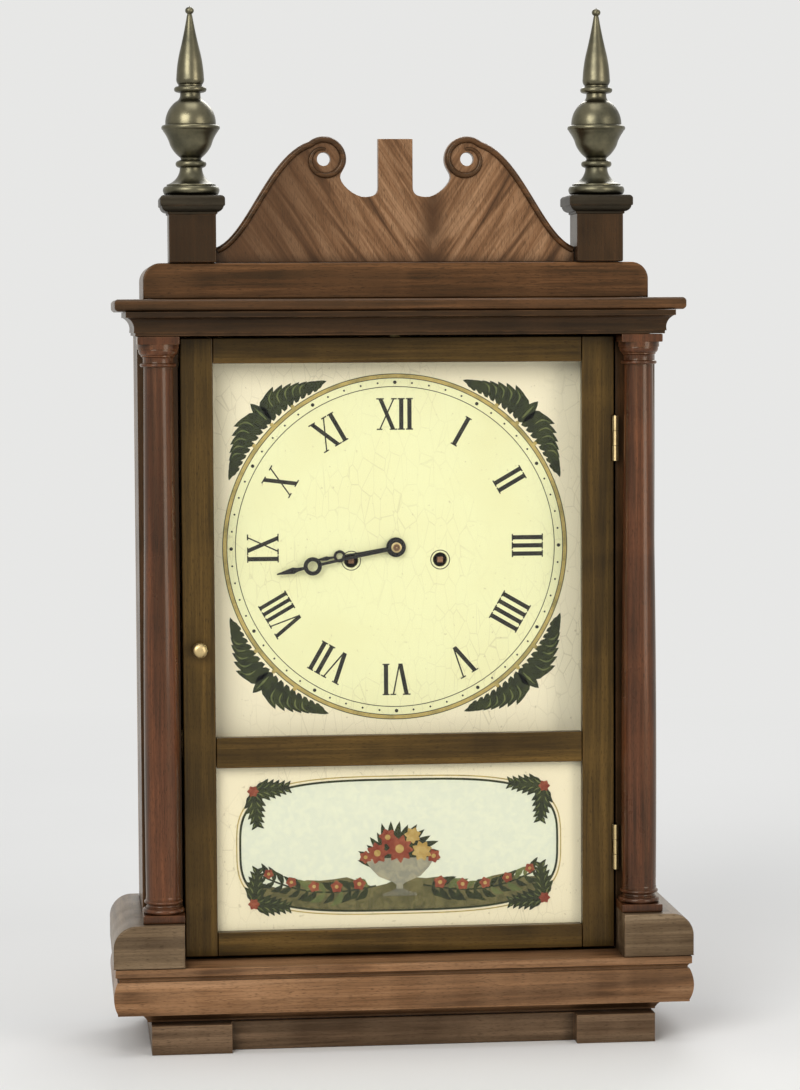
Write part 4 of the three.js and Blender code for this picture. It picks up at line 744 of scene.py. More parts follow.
def dress_all():
    for look, ease, steps, nodes in DRESSED:
        for node in nodes.split():
            dress(node, look, ease, steps)


# Base and case

SIDE_FACE_X = 180 * MM
BASE_WALL = 36
BASE_BOARD = 15
PEDESTAL_ROUND = 17
STILE_BACK = -33.3
CASE_HALF = 195.3
BED_INNER_FRONT = -14.4
BLOCK_HEIGHT = 6
TURNING_START = 5.8
COURSE_ROUND = 13
WELL_HALF = 135.5
WELL_FRONT = -13.7


def faces_sideways(face):
    """Picks the faces of an outer side, so that the grain turns the corner."""
    return abs(face.normal.x) > abs(face.normal.y) and abs(face.center.x) > SIDE_FACE_X


def add_base():
    box = Box("base_moulding")
    run = outline((25.2, 0), (25.2, 1.2), (4.6, 9.4, 0.36), (2.8, 9.4), (2.8, 10.8), (2.8, 34.6, -0.233, 16),
                  (4.2, 34.6), (4.2, 36), (1.26, 38.6, 0.3), (1.26, box.high - 0.8), (2, box.high, -0.3, 4),
                  origin=(0, box.z0))
    inner_half, inner_front = box.x1 - BASE_WALL, box.y0 + BASE_WALL
    add("base_run", mitred(run, box, inner_half, inner_front), "case", "veneer",
        (base_wood["X"], base_wood["Y"]), "base_moulding", second=faces_sideways)
    board = block((-inner_half, inner_front, box.z1 - BASE_BOARD), (inner_half, box.y1, box.z1 - 0.2))
    add("base_board", board, "case", "veneer", veneer["X"], bevel=0.5)


def add_pedestals():
    """Each is rounded over its outer top edge, and narrower behind the stile, beside the case."""
    for name, side in SIDES.items():
        box = Box(f"pedestal_{name}")
        inner, outer = sorted((side * box.x0, side * box.x1))
        bm = bmesh.new()
        for start, y0, y1 in ((inner, box.y0, STILE_BACK), (CASE_HALF, STILE_BACK, box.y1)):
            points = outline((start, box.z0), (outer, box.z0), (outer, box.z1 - PEDESTAL_ROUND),
                             (outer - PEDESTAL_ROUND, box.z1, QUARTER_BULGE, 20), (start, box.z1))
            prism(bm, mirrored(points, side), y0, y1)
        add(f"pedestal_{name}_block", bm, "case", "veneer", (pedestal_wood["X"], pedestal_wood["Y"]),
            f"pedestal_{name}", bevel=1.4, front=box.y0, second=faces_sideways)


def column_profile(bottom, top):
    """Between its end blocks: a roll, a hollow, a roll, the swelling shaft, a neck ring and a cap."""
    foot, head = bottom + 13, top - 17
    profile = outline((0, 0), (13.7, 0), (13.7, 4.4, 0.85), (13.2, 4.4), (13.2, 5), (12.6, 7.4, -0.5, 6),
                      (13.4, 7.6), (13.4, 10, 0.85, 8), (13, 10.3), (12.9, 13, 0.1, 6), origin=(0, bottom))
    for share in shares(24):
        swell = 0.6 * math.sin(math.pi * min(1.0, share / 0.66))
        profile.append((12.9 - 2.1 * share ** 1.6 + swell, foot + (head - foot) * share))
    return profile + outline((12.2, 0.2), (12.2, 3, 0.9, 8), (11.3, 3.2), (11.3, 6.6, -0.06, 4),
                             (12.6, 7.8, -0.3, 4), (12.6, 8.6), (14.5, 13, 0.3), (15.3, 13.2), (15.3, 17),
                             (0, 17), origin=(0, head))


def add_columns():
    for name in SIDES:
        box = Box(f"column_{name}")
        centre = (box.x, box.y, 0)
        profile = column_profile(box.z0 + TURNING_START, box.z1 - TURNING_START)
        bm = turned(profile, centre, "Z", 72)
        for z0 in (box.z0, box.z1 - BLOCK_HEIGHT):
            squared(bm, outline((14.7, 0), (15.3, 0.2), (15.5, 0.8), (15.5, 5.2), (15.3, 5.8),
                                (14.7, BLOCK_HEIGHT), origin=(0, z0)), centre, 0.8)
        add(f"pillar_{name}", bm, "case", "mahogany", pillar_wood, f"column_{name}", even=True)


def add_bed_moulding():
    box = Box("bed_moulding")
    cove = outline((7, 0), (7, 2.2), (6, 2.2), (6, 3.2), (1, 13.6, 0.33, 14), (0, 13.6), (0, box.high),
                   origin=(0, box.z0))
    # Painted shade: the cove takes the near-black mahogany, as if shaded by the cornice over it
    add("bed_cove", mitred(cove, box, CASE_HALF, BED_INNER_FRONT), "case", "veneer",
        (dark_mahogany["X"], dark_mahogany["Y"]), "bed_moulding", second=faces_sideways)


def add_blocking_course():
    """Its outer top edges are rounded, and it is open behind, where the pulleys stand."""
    box = Box("blocking_course")
    shoulder = outline((box.x1, box.z1 - COURSE_ROUND), (box.x1 - COURSE_ROUND, box.z1, QUARTER_BULGE, 14))
    bm = bmesh.new()
    run = [*mirrored(shoulder[::-1]), (-box.x1, box.z0), (box.x1, box.z0), *shoulder]
    prism(bm, run, box.y0, WELL_FRONT)
    end = [(WELL_HALF, box.z0), (box.x1, box.z0), *shoulder, (WELL_HALF, box.z1)]
    for side in (-1, 1):
        prism(bm, mirrored(end, side), WELL_FRONT, box.y1)
    add("blocking_run", bm, "case", "veneer", course_wood, "blocking_course", bevel=1.2, front=box.y0)


# Crest

CREST_HEAD = 17
CREST_HEAD_X = 54
CREST_EYE = 5
CREST_POST = 13
CREST_NECK = math.radians(50)
CREST_STEPS = 22
BEAD_INSET = 2.6
BEAD_RADIUS = 2.3
BEAD_TURN = 1.55 * math.pi
BEAD_STEPS = 40
BEAD_TAPER = 30


def crest_right(foot, height):
    """The right half of the crest, from its foot round the scroll to the middle post."""
    head = (CREST_HEAD_X, height - CREST_HEAD)
    points = [(0, 0), (foot, 0), (foot, 0.12 * height)]
    bend = [(foot + (CREST_HEAD_X - foot) * u, height * v) for u, v in ((0.29, 0.21), (0.48, 0.85))]
    points += bezier(points[-1], *bend, polar(CREST_HEAD, CREST_NECK, head), CREST_STEPS)
    points += sweep(CREST_HEAD, CREST_NECK, math.pi - CREST_NECK, CREST_STEPS, head)[1:]
    last = points[-1]
    chin = (head[0] - 0.75 * CREST_HEAD, head[1] - 0.66 * CREST_HEAD)
    gap = (CREST_POST + 0.55 * CREST_HEAD, 0.52 * height)
    points += bezier(last, (last[0], last[1] - 5), (chin[0] - 2, chin[1] + 4), chin, 6)
    points += bezier(chin, (chin[0] + 3, chin[1] - 6), (gap[0] + 8, gap[1] - 1), gap, 8)
    points += bezier(gap, (gap[0] - 5, gap[1] + 0.5), (CREST_POST, 0.53 * height),
                     (CREST_POST, 0.6 * height), 8)
    return points + [(CREST_POST, 0.98 * height)]


def add_crest():
    box = Box("crest")
    right = [(x, box.z0 + z) for x, z in crest_right(box.x1, box.high)]
    head_z = box.z1 - CREST_HEAD
    eyes = [disc(CREST_EYE, 32, (side * CREST_HEAD_X, head_z)) for side in (-1, 1)]
    board = plate([right[1:] + mirrored(right[:0:-1]), *eyes], box.y0 + 1.2, box.y1, 0.7)
    add("crest_board", board, "case", "veneer", crest_wood, "crest", even=True)
    add_scroll_bead(right[2:2 + 2 * CREST_STEPS], (CREST_HEAD_X, head_z), box.y0 + 1.4)


def add_scroll_bead(neck, head, y):
    """A bead along each scroll's edge that winds in round its eye and thins out over its last steps."""
    line = []
    for i, (x, z) in enumerate(neck):
        x0, z0 = neck[max(i - 1, 0)]
        x1, z1 = neck[min(i + 1, len(neck) - 1)]
        length = math.hypot(x1 - x0, z1 - z0)
        line.append((x - (z1 - z0) / length * BEAD_INSET, z + (x1 - x0) / length * BEAD_INSET))
    for share in shares(BEAD_STEPS):
        radius = (CREST_HEAD - BEAD_INSET) * (1 - share) + (CREST_EYE + 2.4) * share
        line.append(polar(radius, math.pi + share * BEAD_TURN, head))
    sizes = [BEAD_RADIUS * (0.55 + 0.45 * min(1, left / BEAD_TAPER)) for left in reversed(range(len(line)))]
    bm = bmesh.new()
    for side in (-1, 1):
        round_bar(bm, [Vector((side * x, y, z)) for x, z in line], sizes, 14)
    add("crest_bead", bm, "case", "mahogany", mahogany["X"])


# Finials

FINIAL_RADIUS = 21
CAP_HEIGHT = 13
# A foot, a knop, a cup that opens to its rim, a domed lid and a tall spire, in shares of radius and height
FINIAL = (
    (0, 0), (0.82, 0), (0.99, 0.016, 0.4, 6), (0.96, 0.045, 0.3, 6), (0.87, 0.05), (0.87, 0.058),
    (0.4, 0.136, -0.3, 16), (0.4, 0.146), (0.46, 0.149), (0.46, 0.184, 0.75), (0.36, 0.19),
    (0.42, 0.205, -0.3, 5), (0.74, 0.268, 0.12), (0.97, 0.338, -0.1), (0.99, 0.345), (0.99, 0.37, 0.6, 8),
    (0.9, 0.374), (0.9, 0.386), (0.52, 0.495, 0.22, 14), (0.36, 0.532, -0.3, 8), (0.36, 0.54),
    (0.5, 0.545), (0.5, 0.574, 0.8, 8), (0.42, 0.577), (0.42, 0.584), (0.49, 0.62, 0.25, 8),
    (0.36, 0.76, 0.05, 12), (0.1, 0.945, -0.02, 16), (0.08, 0.956), (0.02, 0.992, 0.85), (0, 1),
)


def add_finials():
    for name in SIDES:
        box = Box(f"finial_plinth_{name}")
        cap = box.z1 - CAP_HEIGHT
        points = outline((16.9, box.z0), (17.5, box.z0 + 0.6), (17.5, cap - 1.2), (18.5, cap - 0.8),
                         (18.5, cap + 0.6), (23, cap + 5, 0.36), (23.8, cap + 5.2), (23.8, cap + 5.6),
                         (24, cap + 5.8), (24, cap + 10.4), (21.8, box.z1, 0.3, 6))
        add(f"finial_block_{name}", squared(bmesh.new(), points, (box.x, box.y), 0.9), "case", "mahogany",
            (dark_mahogany["Z"], ebonised), f"finial_plinth_{name}", even=True,
            second=lambda face: face.center.z > (cap - 2) * MM)
        top = Box(f"finial_{name}")
        z0 = box.z1 + 0.3
        profile = outline(*FINIAL, origin=(0, z0), unit=(FINIAL_RADIUS, top.z1 - z0))
        add(f"finial_{name}_turned", turned(profile, (top.x, top.y, 0), "Z", 72), "case", "brass",
            pale_brass, f"finial_{name}")


# Painted motifs

# The thickness of a layer of paint, and the steps between its motifs
PAINT = 0.08
HAIR = 0.004
HAIRS = 16
LEAF_STEPS = 9


class Painting:
    """Flat motifs of one colour in X and Z, on a face that looks to the front. Each lies a hair
    higher than the one before, and the count begins again after HAIRS, so neighbours share no plane."""

    def __init__(self):
        self.bm = bmesh.new()
        self.lift = self.bm.verts.layers.float.new("lift")
        self.count = 0

    def spots(self, points):
        made = [self.bm.verts.new((x, 0, z)) for x, z in points]
        for vert in made:
            vert[self.lift] = HAIR * (self.count % HAIRS)
        return made

    def shape(self, points, at=(0, 0), turn=0.0):
        self.bm.faces.new(self.spots(placed(points, at, turn)))
        self.count += 1

    def band(self, inner, outer):
        quad_strip(self.bm, self.spots(inner), self.spots(outer))
        self.count += 1

    def ring(self, centre, inner, outer, count=160):
        self.band(disc(inner, count, centre), disc(outer, count, centre))

    def put(self, face, name, look, layer=0):
        """Lays the motifs on a face, given as its y, its body and its slot, which is not used."""
        y, body, slot = face
        sheet = list(self.bm.faces)
        for vert in self.bm.verts:
            vert.co.y = y - 0.1 * PAINT
        for part in bmesh.ops.extrude_face_region(self.bm, geom=sheet)["geom"]:
            if isinstance(part, bmesh.types.BMVert):
                part.co.y = y - PAINT * (layer + 1) - part[self.lift]
        add(name, self.bm, body, slot, look)


def leaf(length, width, curl):
    """A pointed leaf from the origin along +X, its spine bent a little."""
    upper, lower = [], []
    for i in range(LEAF_STEPS + 1):
        t = i / LEAF_STEPS
        spine = curl * length * math.sin(math.pi * t) * 0.5
        half = width / 2 * math.sin(math.pi * t ** 0.8) * (1 + 0.12 * math.sin(5 * math.pi * t))
        upper.append((length * t, spine + half))
        lower.append((length * t, spine - half))
    return upper + lower[-2:0:-1]


def bar(a, b, width):
    """A straight bar from a to b."""
    across = math.atan2(b[1] - a[1], b[0] - a[0]) + QUARTER_TURN
    return [polar(side * width / 2, across, end) for side, end in ((1, a), (-1, a), (-1, b), (1, b))]


def rosette(petals, hearts, centre, radius, count, turn=0.0):
    for i in range(count):
        petals.shape(leaf(radius, 1.5 * radius * math.sin(math.pi / count) + 1, 0), centre,
                     turn + FULL_TURN * i / count)
    hearts.shape(disc(0.3 * radius, 18), centre)


# Dial

DIAL_FACE = (Box("dial").y0, "case", "dial_paint")
NUMERALS = ("XII", "I", "II", "III", "IIII", "V", "VI", "VII", "VIII", "IX", "X", "XI")
NUMERAL_HEIGHT = 24
NUMERAL_RING = 101
WIDEST_NUMERAL = 1.25
THICK = 0.135
THIN = 0.045
SERIF = 0.04


def serif(middle, width, end):
    """A short bar across a stroke's foot, where end is 0, or its head, where end is 1."""
    low = end * (1 - SERIF)
    return middle, low, middle, low + SERIF, width


# Each letter's width and its strokes: x and y of both ends, and the width. Its height is 1.
LETTERS = {
    "I": (0.26, ((0.13, 0, 0.13, 1, THICK), serif(0.13, 0.22, 0), serif(0.13, 0.22, 1))),
    "V": (0.66, ((0.13, 1, 0.33, 0, THICK), (0.56, 1, 0.36, 0, THIN), serif(0.13, 0.24, 1),
                 serif(0.56, 0.18, 1))),
    "X": (0.66, ((0.12, 1, 0.54, 0, THICK), (0.56, 1, 0.1, 0, THIN), serif(0.12, 0.24, 1),
                 serif(0.56, 0.18, 1), serif(0.54, 0.24, 0), serif(0.1, 0.18, 0))),
}


def clock_spot(radius, hour):
    return polar(radius, QUARTER_TURN - hour * math.pi / 6, DIAL_CENTRE)


def paint_numerals():
    """Strokes that cross lie in two layers."""
    layers = (Painting(), Painting())
    for hour, numeral in enumerate(NUMERALS):
        wide = sum(LETTERS[letter][0] for letter in numeral)
        squeeze = min(1.0, WIDEST_NUMERAL / wide)
        start = -wide / 2
        for letter in numeral:
            width, strokes = LETTERS[letter]
            for k, (u0, v0, u1, v1, thick) in enumerate(strokes):
                half = thick / 2
                corners = ((u0 - half, v0), (u0 + half, v0), (u1 + half, v1), (u1 - half, v1))
                points = [((start + u) * squeeze * NUMERAL_HEIGHT, (v - 0.5) * NUMERAL_HEIGHT)
                          for u, v in corners]
                layers[k % 2].shape(points, clock_spot(NUMERAL_RING, hour), -hour * math.pi / 6)
            start += width
    for k, layer in enumerate(layers):
        layer.put(DIAL_FACE, f"dial_numerals_{k + 1}", black_paint, k)


RING_INNER = 121.5
RING_OUTER = 128.5
RING_LINE = 0.55
GILT_WIDTH = 2.6
WINDING_HOLE = 5.5
HOUR_DOT = 1.35
MINUTE_DOT = 0.75
LEAF_GAP = 4.6


def paint_minute_ring():
    gilt = Painting()
    gilt.ring(DIAL_CENTRE, RING_OUTER, RING_OUTER + GILT_WIDTH)
    gilt.put(DIAL_FACE, "dial_gilt_ring", gold)
    lines = Painting()
    for inner in (RING_INNER, RING_OUTER - RING_LINE, RING_OUTER + GILT_WIDTH):
        lines.ring(DIAL_CENTRE, inner, inner + RING_LINE)
    for side in ("time", "strike"):
        drum = Box(f"{side}_drum")
        lines.ring((drum.x, drum.z), WINDING_HOLE + 1.4, WINDING_HOLE + 2, 48)
    for minute in range(60):
        size = HOUR_DOT if minute % 5 == 0 else MINUTE_DOT
        lines.shape(disc(size, 12), clock_spot((RING_INNER + RING_OUTER) / 2, minute / 5))
    lines.put(DIAL_FACE, "dial_minute_ring", black_paint, 1)


def paint_corner_leaves():
    """In each corner a spray of leaves lies round the ring, largest in the middle."""
    green, pale, dots = Painting(), Painting(), Painting()
    hug = RING_OUTER + LEAF_GAP
    for corner in range(4):
        middle = math.radians(45 + 90 * corner)
        for side in (-1, 1):
            for i in range(8):
                angle = middle + side * math.radians(1.4 + 2.3 * i)
                length = 26 - 1.9 * i
                root = polar(hug, angle, DIAL_CENTRE)
                lean = angle + side * math.radians(42 + 5 * i)
                green.shape(leaf(length, 11.5 - 0.8 * i, -0.35 * side), root, lean)
                if i < 5:
                    pale.shape(leaf(0.5 * length, 1.3, -0.5 * side), polar(0.4 * length, lean, root), lean)
        root = polar(hug, middle, DIAL_CENTRE)
        green.shape(leaf(22, 11, 0), root, middle)
        pale.shape(leaf(14, 1.6, 0), polar(4, middle, root), middle)
        for spread in (-9, 0, 9):
            dots.shape(disc(1.6, 16), polar(hug - 1, middle + math.radians(spread), DIAL_CENTRE))
    green.put(DIAL_FACE, "dial_leaves", leaf_green)
    pale.put(DIAL_FACE, "dial_leaf_veins", light_green, 1)
    dots.put(DIAL_FACE, "dial_buds", gold, 2)


# Hands

# Each hand's length, the radii of its hub and bore, and its degrees from the top. They show about 8:43.
HANDS = {"hour": (62, 7.5, 4.2, 261.5), "minute": (93, 6, 2.7, 258)}


def hand_outline(length, hub):
    """A hand that points up, with a ring near its tip: its outline, and the ring's height and radius."""
    half = 0.018 * length
    waist = 0.62 * half
    ring, ring_z = 0.075 * length, 0.7 * length
    at_hub, at_ring = math.asin(half / hub), math.asin(waist / ring)
    tip = [(0.9 * half, 0.83 * length), (1.5 * half, 0.86 * length), (0.25 * half, length)]
    points = sweep(hub, QUARTER_TURN + at_hub, FULL_TURN - 2 * at_hub, 32) + [(waist, 0.45 * length)]
    points += sweep(ring, at_ring - QUARTER_TURN, math.pi - 2 * at_ring, 14, (0, ring_z))
    points += tip + mirrored(tip[::-1])
    points += sweep(ring, at_ring + QUARTER_TURN, math.pi - 2 * at_ring, 14, (0, ring_z))
    return points + [(-waist, 0.45 * length)], ring_z, ring


def add_hands():
    for name, (length, hub, bore, degrees) in HANDS.items():
        node = f"{name}_hand"
        box = Box(node)
        outer, ring_z, ring = hand_outline(length, hub)
        loops = (outer, disc(bore, 28), disc(0.56 * ring, 28, (0, ring_z)))
        loops = [placed(loop, DIAL_CENTRE, -math.radians(degrees)) for loop in loops]
        add(f"{node}_cut", plate(loops, box.y0, box.y1, 0.25), f"{name}_body", "hand_paint", hand_paint,
            node, even=True)
    nut = outline((0, -2.4), (3.1, -1, -0.2, 8), (3.9, -0.8), (3.9, 0), (0, 0),
                  origin=(0, Box("minute_hand").y0))
    add("hand_nut", turned(nut, (0, 0, DIAL_CENTRE[1]), "Y", 32), "minute_body", "brass", brass)


# Door

TABLET = Box("tablet_glass")
TABLET_CENTRE = (0, TABLET.z)
TABLET_SKIN = 0.8
TABLET_FACE = (TABLET.y1 - TABLET_SKIN, "door", "tablet")
FIELD_HALF = (121, 50)
FIELD_POWER = 3.4
FIELD_STEPS = 120
LAWN_TOP = -27


def rounded_field(grow=0.0):
    """A rectangle rounded right into its sides, about the origin."""
    points = []
    for spot in disc(1, FIELD_STEPS):
        points.append(tuple(math.copysign(abs(part) ** (2 / FIELD_POWER), part) * (half + grow)
                            for part, half in zip(spot, FIELD_HALF)))
    return points


def add_tablet():
    """A pane over a painted ground, with air between them."""
    pane = block((TABLET.x0, TABLET.y0, TABLET.z0), (TABLET.x1, TABLET.y0 + TABLET_SKIN, TABLET.z1))
    add("tablet_pane", pane, "door", "glass", glass, "tablet_glass")
    ground = block((TABLET.x0, TABLET_FACE[0], TABLET.z0), (TABLET.x1, TABLET.y1, TABLET.z1))
    add("tablet_ground", ground, "door", "tablet", cream, bevel=0.1)
    edge = [(x, z) for x, z in rounded_field() if z < LAWN_TOP]
    hills = [(FIELD_HALF[0] * k / 12, LAWN_TOP + 3 * math.sin(0.9 * k) + 2 * math.cos(1.7 * k))
             for k in range(11, -12, -1)]
    for name, points, look, layer in (("tablet_field", rounded_field(), sky_paint, 0),
                                      ("tablet_lawn", edge + hills, lawn_green, 1)):
        flat = Painting()
        flat.shape(points, TABLET_CENTRE)
        flat.put(TABLET_FACE, name, look, layer)
    for name, inner, outer, look, layer in (("tablet_frame", -0.8, 0.8, leaf_green, 2),
                                            ("tablet_gilt_line", 2.2, 3.1, gold, 1)):
        line = Painting()
        line.band(placed(rounded_field(inner), TABLET_CENTRE), placed(rounded_field(outer), TABLET_CENTRE))
        line.put(TABLET_FACE, name, look, layer)
    paint_bowl()
    paint_tablet_corners()


BOWL_FOOT = (0, TABLET.z - 39)
BOWL_HALF = [(13, 0), (13, 1.8), (7, 3.4), (2.6, 5.5), (2.4, 8.5), (4.6, 10.2), (16, 15), (22.5, 22),
             (25, 26), (26.5, 27), (26.5, 29)]
# Flowers over the bowl: x and height from its foot, radius and petals
FLOWERS = ((-17, 33, 8.5, 7), (17, 34, 8, 8), (0, 36, 11, 9), (-9, 45, 7, 6), (10, 46, 6.5, 7),
           (-26, 30, 5, 6), (26, 30, 5.5, 6))
BRANCH_STEPS = 40
BRANCH_START = 18
BRANCH_LENGTH = 86
BRANCH_Z = TABLET.z - 31


def paint_bowl():
    """A footed bowl of flowers, with a leafy branch to each side."""
    draw = random.Random(11)
    green, pale, red, yellow, grey = Painting(), Painting(), Painting(), Painting(), Painting()
    grey.shape(BOWL_HALF + mirrored(BOWL_HALF[::-1]), BOWL_FOOT)
    for i in range(15):
        green.shape(leaf(draw.uniform(28, 34), 9, 0.15), (0, BOWL_FOOT[1] + 26), math.radians(2 + 12.5 * i))
    for i, (x, z, radius, count) in enumerate(FLOWERS):
        petals, hearts = (yellow, red) if i % 3 == 1 else (red, yellow)
        rosette(petals, hearts, (x, BOWL_FOOT[1] + z), radius, count, 0.3 * i)
    for side in (-1, 1):
        last = (side * BRANCH_START, BRANCH_Z)
        for i, t in enumerate(shares(BRANCH_STEPS), 1):
            spot = (side * (BRANCH_START + BRANCH_LENGTH * t),
                    BRANCH_Z - 5 * math.sin(math.pi * t) + 9 * t ** 3)
            along = math.atan2(spot[1] - last[1], spot[0] - last[0])
            green.shape(bar(last, spot, 1.3))
            if i % 3 == 0:
                for flip in (-1, 1):
                    size = (13.5 - 2 * t) * draw.uniform(0.85, 1.12)
                    motif = green if draw.random() < 0.75 else pale
                    motif.shape(leaf(size, 0.36 * size, 0.25 * flip), spot,
                                along + flip * math.radians(40 + draw.uniform(-8, 8)))
            if i % 8 == 6:
                rosette(red, yellow, (spot[0], spot[1] + 4), 5.4 - 1.5 * t, 5, t)
            last = spot
    green.put(TABLET_FACE, "tablet_leaves", leaf_green, 2)
    pale.put(TABLET_FACE, "tablet_pale_leaves", light_green, 3)
    grey.put(TABLET_FACE, "tablet_bowl", stone_grey, 4)
    red.put(TABLET_FACE, "tablet_petals", flower_red, 5)
    yellow.put(TABLET_FACE, "tablet_flower_hearts", ochre, 6)


def paint_tablet_corners():
    """In each corner of the field a spray of leaves follows the rounding."""
    green, pale, buds = Painting(), Painting(), Painting()
    for sx, sz in ((-1, -1), (-1, 1), (1, -1), (1, 1)):
        corner = (sx * 111, TABLET.z + sz * 43)
        for lean in (math.atan2(-sz, -0.12 * sx), math.atan2(0.1 * sz, -sx)):
            for i in range(5):
                root = polar(5.5 * i, lean, corner)
                size = 15 - 1.6 * i
                for flip in (-1, 1):
                    angle = lean + flip * math.radians(34)
                    green.shape(leaf(size, 0.42 * size, -0.2 * flip), root, angle)
                    pale.shape(leaf(0.45 * size, 0.9, -0.2 * flip), polar(3, angle, root), angle)
        rosette(buds, pale, corner, 4.5, 6)
    green.put(TABLET_FACE, "tablet_corner_leaves", leaf_green, 3)
    pale.put(TABLET_FACE, "tablet_corner_veins", light_green, 4)
    buds.put(TABLET_FACE, "tablet_corner_buds", flower_red, 5)


TONGUE_HALF = 3.5


def add_knob():
    box = Box("door_latch")
    axle = box.z1 - 6
    end = box.deep - 0.2
    knob = outline((0, 0), (2.4, 0), (5.9, 3.4, 0.35, 12), (4.2, 7, 0.35, 8), (2.7, 9.6, -0.3, 8),
                   (4.7, 11.8, -0.25, 6), (5, 12.2), (5, 12.9), (2.2, 12.9), (2.2, end), (0, end),
                   origin=(0, box.y0))
    add("knob_turned", turned(knob, (box.x, 0, axle), "Y", 48), "latch", "brass", brass, "door_latch")
    tongue = block((box.x - TONGUE_HALF, box.y1 - 2.2, box.z0),
                   (box.x + TONGUE_HALF, box.y1, axle + TONGUE_HALF))
    add("latch_tongue", tongue, "latch", "brass", brass, bevel=0.5)


# Bob, bell, weights and pulleys

BELL_RADIUS = 28
BELL_DEPTH = 22
BELL_WALL = 2.2
BELL_STEPS = 16
BELL_POST_END = 63.4
WEIGHT_HEIGHT = 135
HOOK_RADIUS = 4
HOOK_WIRE = 1.3


def add_bob():
    box = Box("pendulum_bob")
    half, rim = box.deep / 2, box.wide / 2 - 0.6
    lens = outline((0, -half), (0.2, -half), (rim, -0.5, 0.13, 20), (rim, 0.5, 0.9, 6),
                   (0.2, half, 0.13, 20), (0, half))
    add("bob_lens", turned(lens, (box.x, box.y, box.z), "Y", 72), "pendulum", "brass", brass, "pendulum_bob")


def bell_curve(radius, depth, mouth):
    """From mouth to crown."""
    angles = [QUARTER_TURN * i / BELL_STEPS for i in range(BELL_STEPS + 1)]
    return [(radius * max(math.cos(angle), 0) ** 0.8, mouth + depth * math.sin(angle)) for angle in angles]


def add_bell():
    """The shell on its post, with a nut inside."""
    box = Box("bell")
    crown = box.y0 + BELL_DEPTH
    nut = crown - BELL_WALL
    inside = bell_curve(BELL_RADIUS - BELL_WALL, BELL_DEPTH - BELL_WALL, box.y0)[::-1]
    outside = bell_curve(BELL_RADIUS, BELL_DEPTH, box.y0)
    shell = [(0, nut), *inside, *arc(inside[-1], outside[0], 0.6, 6), *outside[1:]]
    post = outline((0, crown), (4, crown), (4, BELL_POST_END, -0.15, 6), (0, BELL_POST_END))
    cap = outline((0, nut - 2.5), (3.4, nut - 2.5), (4.4, nut - 1.4, 0.3, 4), (4.4, nut), (0, nut))
    bm = bmesh.new()
    for profile, segments in ((shell, 72), (post, 32), (cap, 32)):
        turned(profile, (box.x, 0, box.z), "Y", segments, bm)
    add("bell_shell", bm, "case", "brass", brass, "bell")


def add_weights_and_pulleys():
    sheave = outline((0, -7.5), (1.5, -7.5), (1.5, -3.2), (4, -3), (4, -2), (11, -1.8), (11, -3), (13.4, -3),
                     (13.9, -2.5, 0.4, 4), (13.9, 2.5, -0.42, 12), (13.4, 3, 0.4, 4), (11, 3), (11, 1.8),
                     (4, 2), (4, 3), (1.5, 3.2), (1.5, 7.5), (0, 7.5))
    for side in ("time", "strike"):
        box = Box(f"{side}_weight")
        top = box.z0 + WEIGHT_HEIGHT
        cast = outline((0, box.z0), (17, box.z0), (20, box.z0 + 3, QUARTER_BULGE, 6), (20, top - 6),
                       (14, top, QUARTER_BULGE, 8), (0, top))
        bm = turned(cast, (box.x, box.y, 0), "Z", 56)
        hook = sweep(HOOK_RADIUS, -QUARTER_TURN, FULL_TURN, 28, (box.x, top + HOOK_RADIUS))
        round_bar(bm, [Vector((x, box.y, z)) for x, z in hook], [HOOK_WIRE] * len(hook), 12)
        add(f"{side}_weight_cast", bm, f"{side}_weight_body", "iron", iron, f"{side}_weight")
        box = Box(f"{side}_pulley")
        add(f"{side}_sheave", turned(sheave, (box.x, box.y, box.z), "Y", 56), f"{side}_pulley_body", "brass",
            brass, f"{side}_pulley")


# Cords

CORD_RADIUS = 0.9
CORD_STEP = 1.2
CORD_ARC_STEPS = 16
DRUM_REACH = 9.2
PAST_PULLEY = 7


def add_cord(name, path, *nodes):
    """Three strands laid round each other along a path."""
    points = [path[0]]
    for a, b in zip(path, path[1:]):
        points += [a.lerp(b, share) for share in shares(max(1, round((b - a).length / CORD_STEP)))]
    bm = round_bar(bmesh.new(), points, [CORD_RADIUS] * len(points), 12, wave=0.24, twist=0.42)
    return add(name, bm, "case", "hemp", hemp, *nodes)


def add_cords():
    """From each drum over its pulley and a little way down, then the fall, on a mesh of its own."""
    for side, sign in (("time", 1), ("strike", -1)):
        cord, pulley, drum, weight = (Box(f"{side}_{part}") for part in ("cord", "pulley", "drum", "weight"))
        reach = abs(weight.x - pulley.x)
        # The lead touches the drum on one side and the pulley on the other
        run = Vector((abs(pulley.x) - abs(drum.x), pulley.z - drum.z))
        slope = math.atan2(run.y, run.x) + math.asin((DRUM_REACH + reach) / run.length)
        start = math.atan2(math.cos(slope), -math.sin(slope))
        lead = [polar(-DRUM_REACH, start, (abs(drum.x), drum.z))]
        lead += sweep(reach, start, -start, CORD_ARC_STEPS, (abs(pulley.x), pulley.z))
        path = [Vector((sign * x, cord.y, z)) for x, z in lead]
        fall_top = path[-1] - Vector((0, 0, PAST_PULLEY))
        add_cord(f"{side}_cord_lead", path + [fall_top], f"{side}_cord")
        piece = add_cord(f"{side}_cord_fall", [fall_top, Vector((fall_top.x, cord.y, cord.z0))])
        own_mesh(piece)


# Floor, world and lamps, in metres

